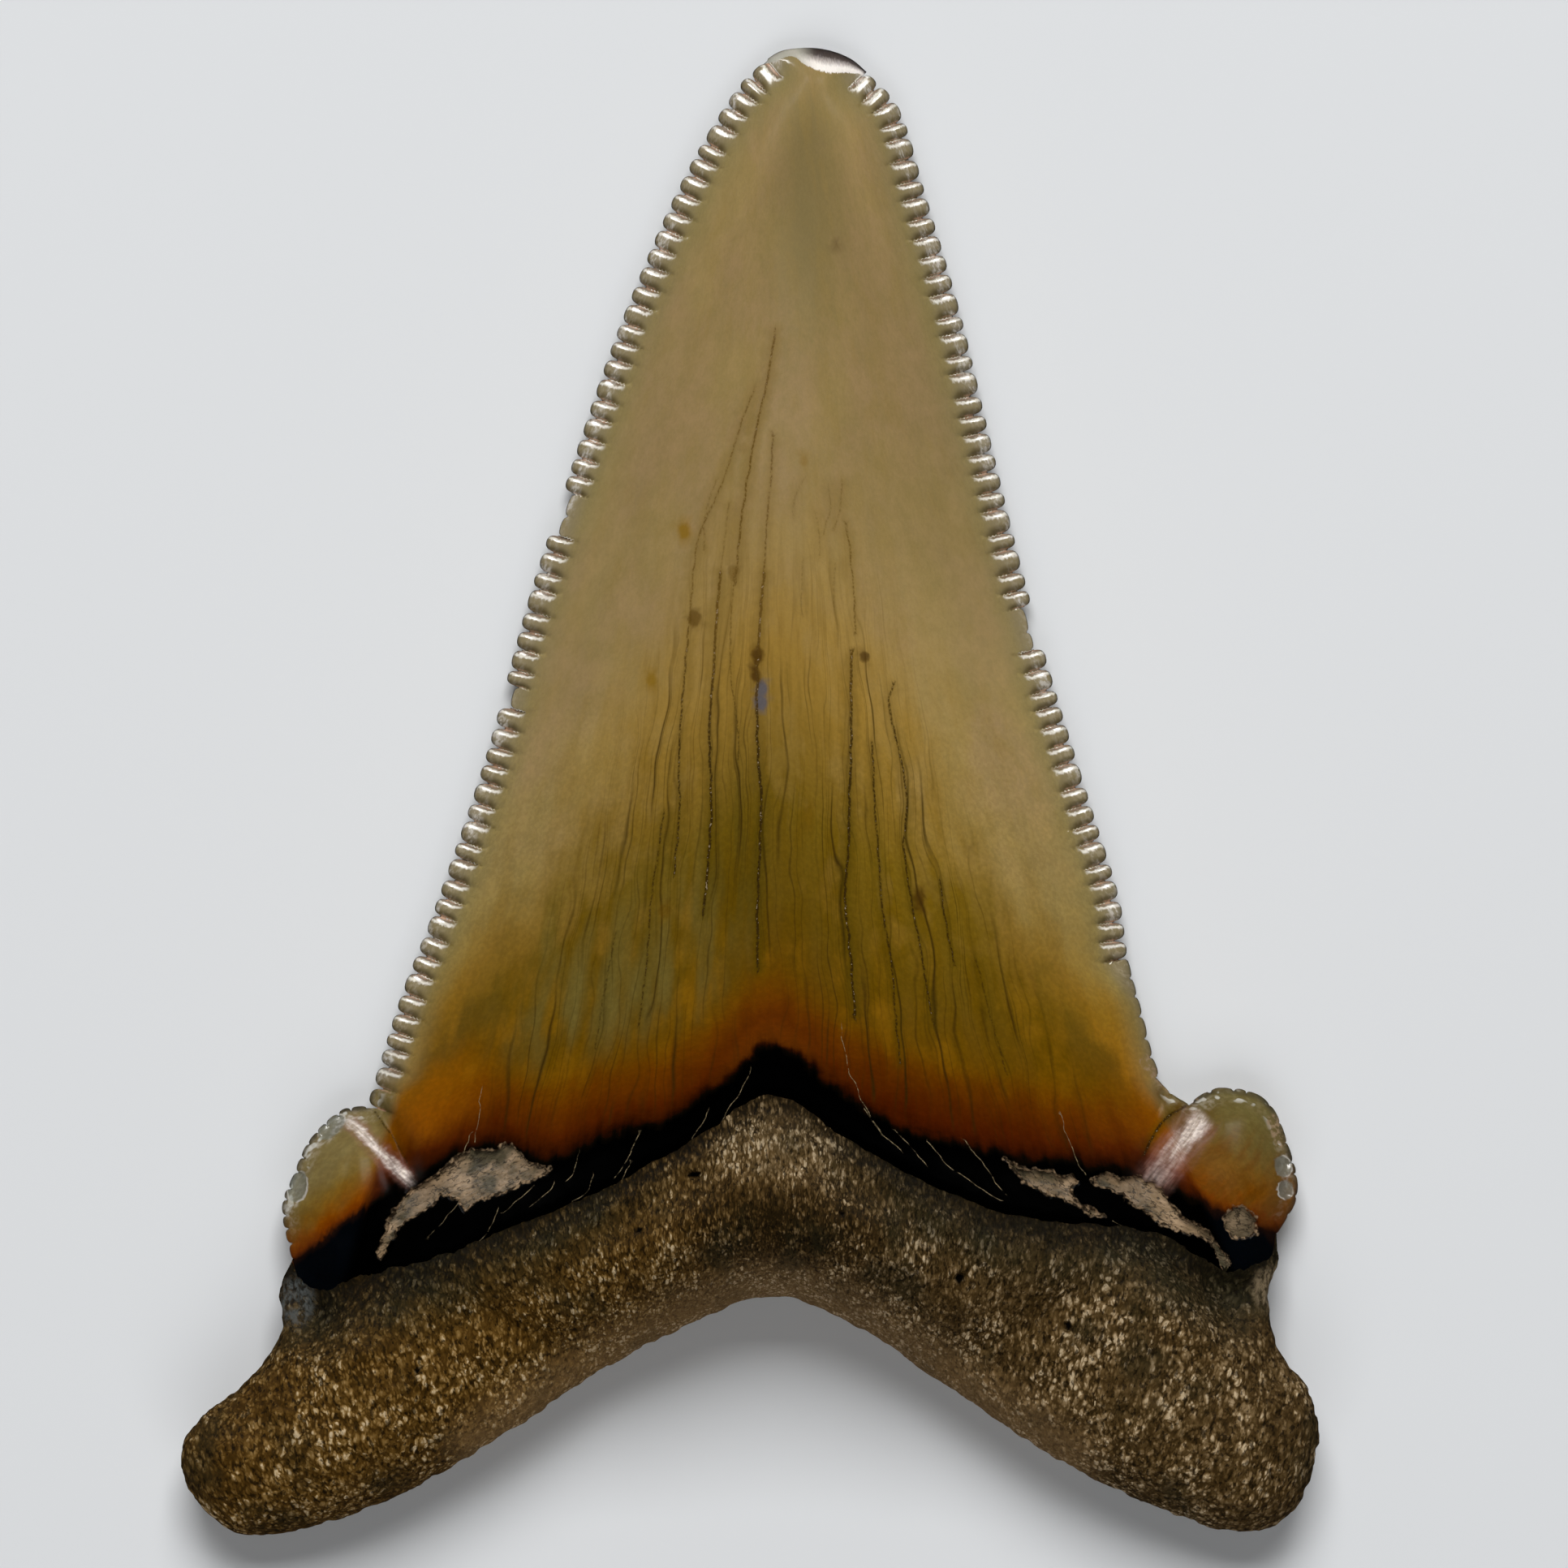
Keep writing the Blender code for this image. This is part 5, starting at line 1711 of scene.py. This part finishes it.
    def cusplets(self, at: Spot) -> Value:
        """The colours of the side cusplets, paler on the left and browner on the right.

        Args:
            at: the point.

        Returns:
            The colour.
        """
        _, (along, off, _) = at.graph.attribute("strips")
        right, rise = at.fan.step(-5, 5), at.rise
        shifted = rise * (1.05 - right * 0.46) + (0.35 - right * 0.3)
        strokes = self.streaks(at.graph.vector(off, along), 1.5, 0.4, 0.4, 0.62)
        brushed = strokes * right * rise.step(0.5, 1.4) * rise.step(5.6, 3.4)
        return at.graph.ramp(shifted.share_of(self.cusplet_reach), self.cusplet).painted(
            (right * rise.step(2.6, 4.4) * 0.75, self.cusplet_olive),
            (right * rise.step(0.9, 2.2) * rise.step(5.4, 3.2) * 0.35, self.cusplet_burnt),
            (brushed * 0.75, self.cusplet_stroke),
            ((1 - right) * rise.step(1.6, 3.4) * 0.35, self.cusplet_pale),
            (at.speckle * rise.step(0.6, 1.8) * 0.25, self.freckle),
            (at.cloudy * rise.step(0.5, 2) * 0.15, self.shade))

    def body(self, at: Spot) -> Value:
        """The colours of the sound enamel, from the band up to the tip.

        Args:
            at: the point.

        Returns:
            The colour.
        """
        _, (_, _, labial) = at.graph.attribute("tints")
        plain_back = at.graph.mix(at.patches, self.labial, self.labial_patch)
        return self.burnt(self.crown(at), at).scaled(self.lift(at)).painted(
            (at.cusplet, self.cusplets(at)),
            (labial, at.graph.mix(at.above.step(1, 5), self.labial_foot, plain_back)))

    def edges(self, body: Value, at: Spot, upper: Value, notch: Value) -> Value:
        """Adds the pearly lobes with painted shade below and painted highlights above, the crumbs in the
        notches and the cusplets' rims.

        Args:
            body: the colour so far.
            at: the point.
            upper: where it is across its lobe, from -1 at the lower notch to 1 at the upper.
            notch: the mask of the notches.

        Returns:
            The colour.
        """
        depth, cusplet, lit = at.depth, at.cusplet, at.lit
        lit_main = lit * (1 - cusplet)
        near = depth.step(1.5, 0.8) * lit_main
        worn = self.mottle(at.place, 0.5, 0.5, 0.6)
        held = 1 - cusplet * at.fan.step(-1, 1) * 0.7
        pearly = depth.step(0.95, 0.5) * (worn + 0.25) * (at.gritty + 0.3) * held
        # The painted highlight along the upper part of each lobe
        bend = upper + (at.gritty - 0.5) * 0.12
        lobe_highlight = bend.step(0.18, 0.42) * bend.step(0.66, 0.5) * depth.step(1.35, 1)
        crumbs = notch * self.mottle(at.place, 0.8, 0.38, 0.52) * (at.gritty * 0.5 + 0.5)
        rimmed = cusplet * lit * depth.step(0.36, 0.1) * (at.small * 0.5 + 0.4)
        glints = cusplet * at.rise.step(1.5, 3.5) * depth.step(0.75, 0.4) * depth.step(0.1, 0.2)
        return body.painted(
            (depth.step(2.5, 1.1) * lit_main * 0.55, self.valley),
            (near * 0.6, self.lobe),
            # Painted shade on each lobe's lower side
            (upper.step(-0.05, -0.75) * near * 0.85, self.under),
            (upper.step(0.5, 0.75) * near * 0.7, self.above_shine),
            (pearly * lit * 0.5, self.pearl),
            (lobe_highlight * lit_main * 0.9, self.shine),
            (crumbs * lit * depth.step(1.1, 0.8), self.crumb),
            (rimmed, self.dark_rim),
            (glints * at.graph.noise(at.place, 2, 1, 0.4).step(0.57, 0.64) * 0.75, self.glint))

    def lines(self, body: Value, at: Spot, crack: Value, vein: Value) -> Value:
        """Adds the hairlines, the stains, the cracks with their soaked borders and painted glints, and the
        veins.

        Args:
            body: the colour so far.
            at: the point.
            crack: the mask of the cracks.
            vein: the mask of the veins.

        Returns:
            The colour.
        """
        graph, place, y = at.graph, at.place, at.y
        _, (dark, tint, _) = graph.attribute("stains")
        _, (_, _, halo) = graph.attribute("edges")
        reach = (abs(at.fan - 0.3) + y * 0.2).step(9.5, 6) * y.step(14, 3) * at.rise.step(0.5, 1.4)
        low_line = graph.mix(y.step(9, 1), self.line, self.low_line)
        for across, width, strength in self.hairs:
            hair = graph.group(self.effects.get(Effect.HAIRLINES), Vector=place, Across=across, Width=width)
            body = body.painted((hair * reach * strength, low_line))
        soaked = graph.mix(y.step(6, -2), self.soaked, self.low_soaked)
        # Painted glints: small pale specks scattered along the cracks
        crack_glints = crack.step(0.4, 0.7) * graph.noise(place, 7, 1, 0.5).step(0.6, 0.68)
        return body.painted(
            (halo * at.lit * (y.step(6, 12) * 0.2 + 0.75), soaked),
            (tint.step(0.05, 0.9, soft=False) * 0.8, self.yellow_stain),
            (tint.step(-0.05, -0.8, soft=False) * 0.9, self.blue_stain),
            (dark * 0.85, self.dark_stain),
            (crack.step(0.08, 0.6) * 0.9, low_line),
            (crack_glints * 0.8, self.crack_glint),
            (vein, self.vein))

    def gleam(self, body: Value, at: Spot) -> Value:
        """Adds the brushed gleams along the cusplets' inner sides: a thin one left, a broad one right.

        Args:
            body: the colour so far.
            at: the point.

        Returns:
            The colour.
        """
        _, (along, off, _) = at.graph.attribute("strips")
        strokes = self.streaks(at.graph.vector(off, along), 4.5, 0.8, 0.36, 0.62)
        right = at.fan.step(-1, 1)
        swung = off + (at.graph.noise(at.place, 1.6, 3, 0.6) - 0.5) * 0.5
        away = abs(swung / (right * 0.28 + 0.3))
        whole = abs(at.fan).step(11, 12) * along.step(-0.4, 0.3) * along.step(4.4, 3.4)
        glow = whole * away.step(2.1, 0.6) * (strokes * 0.5 + 0.35)
        core = whole * away.step(1.15, 0.2) * (1 - right * along.step(0.9, 3) * 0.75)
        core = core * (strokes * 0.7 + 0.4) * (at.gritty * 0.35 + 0.8)
        return body.painted((glow * 0.8, self.gleam_edge), (core.least(1.0), self.gleam_core))

    def make(self) -> bpy.types.Material:
        """Builds the material."""
        material, graph, shader = start_material(
            "fossil enamel", Coat_Roughness=0.16, Coat_IOR=1.5, Specular_IOR_Level=0.03, IOR=1.45,
            Subsurface_Weight=0.08, Subsurface_Radius=(1.0, 0.6, 0.2), Subsurface_Scale=0.0005)
        at = self.spot(graph)
        _, (crack, vein, glass) = graph.attribute("marks")
        _, (_, _, flake_edge) = graph.attribute("stains")
        _, (upper, chip, _) = graph.attribute("edges")
        notch = abs(upper).step(0.74, 0.9)
        broken = graph.noise(at.place, 2.2, 3, 0.6)
        grit = self.mottle(at.place, 8, 0.36, 0.58)
        crack = crack * broken.step(0.24, 0.4) * (grit * 0.7 + 0.4)
        vein = vein.step(0.25, 0.85) * broken.step(0.34, 0.6) * (grit * 0.6 + 0.45)
        body = self.edges(self.body(at), at, upper, notch)
        body = self.lines(body, at, crack, vein).painted(
            (flake_edge.step(0.5, 0.95) * (at.gritty * 0.8 + 0.1), self.chip),
            (glass.step(0.1, 0.6) * 0.55, self.glass),
            (glass.step(0.02, 0.25) * glass.step(0.75, 0.4) * at.small.step(0.2, 0.6) * 0.7, self.pearl))
        ragged_chip = chip + (at.gritty - 0.5) * 0.06
        # The chipped facet, with painted shade at its top and a painted highlight at its lower edge
        facet = graph.ramp(ragged_chip, self.facet).painted((at.fan.step(8, 3.5), self.facet_side))
        body = self.gleam(body, at).painted((ragged_chip.step(1.04, 0.96), facet))
        speckled = (at.gritty - 0.5) * at.y.step(9, -3) * 0.12
        body = body.scaled(graph.noise(at.place, 5, 3, 0.75) * 0.32 + 0.84 + speckled)
        near = at.depth.step(1.5, 0.8) * (at.lit * (1 - at.cusplet))
        coat = (at.y.step(30, 22) * at.y.step(-14, -10) * 0.35).most(near).most(glass * 0.8)
        graph.feed(shader.inputs["Base Color"], body)
        graph.feed(shader.inputs["Roughness"], at.small * 0.06 + 0.3 + crack.most(notch) * 0.2)
        graph.feed(shader.inputs["Coat Weight"], coat.most(at.cusplet * 0.02))
        graph.feed(shader.inputs["Normal"], self.rough(at.place, 1.6, 0.25, 0.00003))
        return material


@dataclass(frozen=True)
class RootFinish(Finish):
    """Bare fossil root: dark brown between pale gritty grains, darker just below the band."""

    # From the hollows between the grains to the brightest grains
    grains: Ramp = (
        (0.0, seen(36, 26, 11)), (0.2, seen(58, 42, 19)), (0.42, seen(86, 66, 37)), (0.7, seen(130, 107, 74)),
        (1.0, seen(190, 168, 134)))
    # What the left and the right lobe's colours are multiplied by
    warm: Colour = (1.14, 1.0, 0.58)
    cool: Colour = (1.02, 1.04, 1.08)
    green: Colour = seen(36, 34, 20)
    margin: Colour = seen(18, 15, 10)
    blue_corner: Colour = seen(80, 84, 83)
    tan_corner: Colour = seen(124, 108, 84)
    # The lighter tan of the smooth rim along the arch, made lighter still as painted light where the surface
    # there turns away into shade
    arch: Colour = seen(152, 120, 80)
    pit: Colour = seen(16, 11, 5)
    hole: Colour = seen(8, 6, 4)

    @staticmethod
    def grain(place: Value, scale: float, near: float) -> Value:
        """Separate grains of random brightness.

        Args:
            place: where each point is.
            scale: how many grains there are to a millimetre.
            near: how much of its cell a grain fills.

        Returns:
            A mask from 0 between the grains up to 1 on the brightest.
        """
        graph = place.graph
        cells = graph.node("TexVoronoi", {"Vector": place, "Scale": scale, "Randomness": 1.0}).outputs
        pick = graph.value("SeparateColor", {0: Value(graph, cells["Color"])})
        return Value(graph, cells["Distance"]).step(near, near * 0.4) * pick

    def make(self) -> bpy.types.Material:
        """Builds the material."""
        material, graph, shader = start_material("fossil root", Specular_IOR_Level=0.02)
        _, (u, v, _) = graph.attribute("place")
        _, (below, arch, hole) = graph.attribute("zones")
        _, (relief, crest_light_and_shade, corners) = graph.attribute("marks")
        # The real height is the third part, so that the grains don't smear down the steep sides
        _, _, tall = graph.parts(graph.value("TexCoord", {}, "Object"))
        place = graph.vector(u, v, tall * (1 / MM))
        shift = graph.value("TexNoise", {"Vector": place, "Scale": 1.5}, "Color").stretched(0.4, 0.4, 0.4)
        warped = graph.value("VectorMath", {0: place, 1: shift}, operation="ADD")
        stretched = warped.stretched(1.0, 0.62, 0.9)
        some = self.mottle(place, 0.4, 0.3, 0.7)
        ground = graph.noise(stretched, 3.6, 3, 0.6)
        grains = self.grain(stretched, 3.2, 0.7) * 0.55 + self.grain(stretched, 6.5, 0.75) * 0.42
        # The bulge's painted light and shade, and painted light along the arch
        bright = grains * (some * 0.9 + 0.55) + 0.095 + crest_light_and_shade * 0.16 + arch * 0.1
        bright = bright + (ground - 0.42) * 0.7 + (relief - 0.45) * 0.22
        bright = bright * (below.step(0.1, 1.2) * 0.3 + 0.7)
        body = graph.ramp(bright, self.grains)
        toned = graph.mix(1.0, body, graph.mix(u.step(-14, 4), self.warm, self.cool), "MULTIPLY")
        sideward = abs(u).step(5, 12)
        gaps = graph.noise(place.stretched(1.0, 0.55, 0.9), 4.4, 2.5, 0.6)
        uneven = below + (ground - 0.5) * 1.6
        gritty = ground.step(0.4, 0.62) * 0.65 + 0.08
        body = body.painted(
            (bright.step(1.2, 0.3), toned),
            (self.mottle(place, 0.3, 0.52, 0.7) * 0.5, self.green),
            (below.step(4.4, 1.4) * (some * 0.35 + 0.35) * (sideward * 0.9 + 0.4), self.green),
            # The rim along the arch: its lighter tan, partly painted light
            (arch * (ground * 0.45 + 0.12), self.arch),
            (gaps.step(0.46, 0.36) * (1 - arch * 0.6) * 0.75, self.pit),
            (uneven.step(2.3, 0.5) * (0.98 - bright * 0.95), self.margin),
            (corners.step(0, 0.8) * gritty, self.blue_corner),
            (corners.step(0, -0.8) * gritty, self.tan_corner),
            (hole, self.hole))
        bump = graph.value("Bump", {"Height": bright, "Strength": 0.8, "Distance": 0.0001})
        graph.feed(shader.inputs["Base Color"], body)
        graph.feed(shader.inputs["Roughness"], 0.65 - bright * 0.12)
        graph.feed(shader.inputs["Normal"], bump)
        return material


@dataclass(frozen=True)
class CoreFinish(Finish):
    """The dull, layered tan core that shows where enamel has flaked off."""

    light: Colour = seen(176, 149, 118)
    tan: Colour = seen(132, 110, 82)
    grey: Colour = seen(74, 67, 50)
    dark: Colour = seen(36, 30, 22)

    def make(self) -> bpy.types.Material:
        """Builds the material."""
        material, graph, shader = start_material("flaked core", Roughness=0.75)
        place, (u, _, _) = graph.attribute("place")
        layered = place.stretched(0.8, 1.6, 0.0)
        far_right = u.step(26.6, 27.6)
        patches = self.mottle(place, 0.5, 0.38, 0.62)
        ridges = abs(graph.noise(layered, 0.7, 3.5, 0.65) - 0.5)
        body = graph.mix(patches.most(far_right * 0.8), self.tan, self.grey).painted(
            (self.mottle(layered, 0.9, 0.4, 0.72) * (0.8 - far_right * 0.45), self.light),
            (self.mottle(layered, 4.2, 0.46, 0.3) * 0.75, self.dark),
            (ridges.step(0.02, 0) * 0.8, self.dark))
        graph.feed(shader.inputs["Base Color"], body)
        graph.feed(shader.inputs["Normal"], self.rough(layered, 3.4, 0.9, 0.00015))
        return material


# The setting


@dataclass(frozen=True)
class SoftBox:
    """A soft box that faces the tooth: where it hangs, its sides, its power and what it does."""

    name: str
    # Degrees round from +X towards +Y, degrees above the floor and metres away
    azimuth: float
    elevation: float
    distance: float
    # Its width and height, in metres
    size: tuple[float, float]
    watts: float
    # Whether it shows only in reflections, or only lights the surfaces
    gleam: bool

    def build(self) -> None:
        """Hangs the box."""
        data = bpy.data.lights.new(self.name, "AREA")
        data.shape = "RECTANGLE"
        data.size, data.size_y = self.size
        data.energy = self.watts
        lamp = new_object(self.name, data)
        lamp.visible_glossy = self.gleam
        lamp.visible_diffuse = not self.gleam
        around, up = math.radians(self.azimuth), math.radians(self.elevation)
        way = Vector((math.cos(around) * math.cos(up), math.sin(around) * math.cos(up), math.sin(up)))
        lamp.location = way * self.distance
        lamp.rotation_euler = way.to_track_quat("Z", "Y").to_euler()


@dataclass(frozen=True)
class Studio:
    """A pale floor, soft lights and the camera straight above the tooth."""

    # Where the solid's own frame has its origin, in the plan's, in mm
    middle: tuple[float, float]
    pixels_per_mm: float = 26.0
    image_side: float = 1932.0
    # What the middle of the picture looks at, in the plan, in mm
    look_at: tuple[float, float] = (1.577, 0.25)
    # How far the camera is above the tooth's face, and how high that is, in metres
    distance: float = 0.7
    face_height: float = 0.002
    clip: tuple[float, float] = (0.01, 20.0)
    sensor: float = 36.0
    floor_side: float = 4.0
    floor_colour: Colour = srgb(226, 228, 230)
    floor_roughness: float = 0.7
    room_colour: Colour = (0.9, 0.95, 1.0)
    room_strength: float = 0.03
    boxes: tuple[SoftBox, ...] = (
        SoftBox("key", 90, 58, 1.0, (0.5, 0.5), 9.0, False),
        SoftBox("fill", 270, 50, 1.0, (1.0, 0.6), 3.0, False),
        SoftBox("gleam_left", 114, 15, 0.5, (0.22, 0.15), 2.2, True),
        SoftBox("gleam_right", 66, 15, 0.5, (0.22, 0.15), 2.2, True))

    def floor(self) -> None:
        """Lays the pale floor."""
        half = self.floor_side / 2
        mesh = bpy.data.meshes.new("floor")
        corners = [(-half, -half, 0), (half, -half, 0), (half, half, 0), (-half, half, 0)]
        mesh.from_pydata(corners, [], [(0, 1, 2, 3)])
        material, _, _ = start_material(
            "pale floor", Base_Color=(*self.floor_colour, 1), Roughness=self.floor_roughness)
        mesh.materials.append(material)
        floor = new_object("floor", mesh)
        # The enamel is seen against dark surroundings, so the pale floor stays out of its reflections
        floor.visible_glossy = False

    def room(self) -> None:
        """Fills the room with faint even light."""
        world = bpy.data.worlds.new("room")
        bpy.context.scene.world = world
        world.use_nodes = True
        background = world.node_tree.nodes["Background"]
        background.inputs["Color"].default_value = (*self.room_colour, 1)
        background.inputs["Strength"].default_value = self.room_strength

    def camera(self) -> None:
        """Puts the camera straight above the tooth, with the tip up in the picture."""
        data = bpy.data.cameras.new("camera")
        data.sensor_width = self.sensor
        data.sensor_height = self.sensor
        data.sensor_fit = "HORIZONTAL"
        data.lens = self.sensor * self.distance / (self.image_side / self.pixels_per_mm * MM)
        data.clip_start, data.clip_end = self.clip
        camera = new_object("camera", data)
        x, y = ((seen_at - origin) * MM for seen_at, origin in zip(self.look_at, self.middle))
        camera.location = (x, y, self.distance + self.face_height)
        bpy.context.scene.camera = camera

    def build(self) -> None:
        """Makes the floor, the lights and the camera."""
        self.floor()
        for box in self.boxes:
            box.build()
        self.room()
        self.camera()
        bpy.context.scene.view_settings.view_transform = "Standard"
        log.info("studio: floor, lights and camera")


@dataclass
class FossilTooth:
    """The whole tooth: its enamel cap and its root, each with its finish."""

    form: Form
    effects: Effects = field(default_factory=Effects)
    # The core's material goes to faces this far above the foot of the band and this far within the outline
    core_rise: float = 0.2
    core_inset: float = 0.6

    def build(self) -> None:
        """Builds and dresses both skins."""
        cap = EnamelCap("enamel_cap", self.form).build()
        cap.data.materials.append(EnamelFinish(self.effects).make())
        root = Root("root", self.form).build()
        root.data.materials.append(RootFinish(self.effects).make())
        root.data.materials.append(CoreFinish(self.effects).make())
        self.split(root.data)

    def split(self, mesh: bpy.types.Mesh) -> None:
        """Gives the core's material to the faces of the root that lie above the foot of the band."""
        zones, place = (np.zeros(len(mesh.vertices) * 3, np.float32) for _ in range(2))
        mesh.attributes["zones"].data.foreach_get("vector", zones)
        mesh.attributes["place"].data.foreach_get("vector", place)
        corners = np.zeros(len(mesh.loops), np.int32)
        mesh.loops.foreach_get("vertex_index", corners)
        below, depths = zones[0::3][corners.reshape(-1, 3)], place[2::3][corners.reshape(-1, 3)]
        is_core = (below.mean(1) < -self.core_rise) & (depths.min(1) > self.core_inset)
        mesh.polygons.foreach_set("material_index", is_core.astype(np.int32))


def main() -> None:
    """Builds everything in order."""
    form = Form()
    FossilTooth(form).build()
    Studio(form.middle).build()


if __name__ == "__main__":
    main()
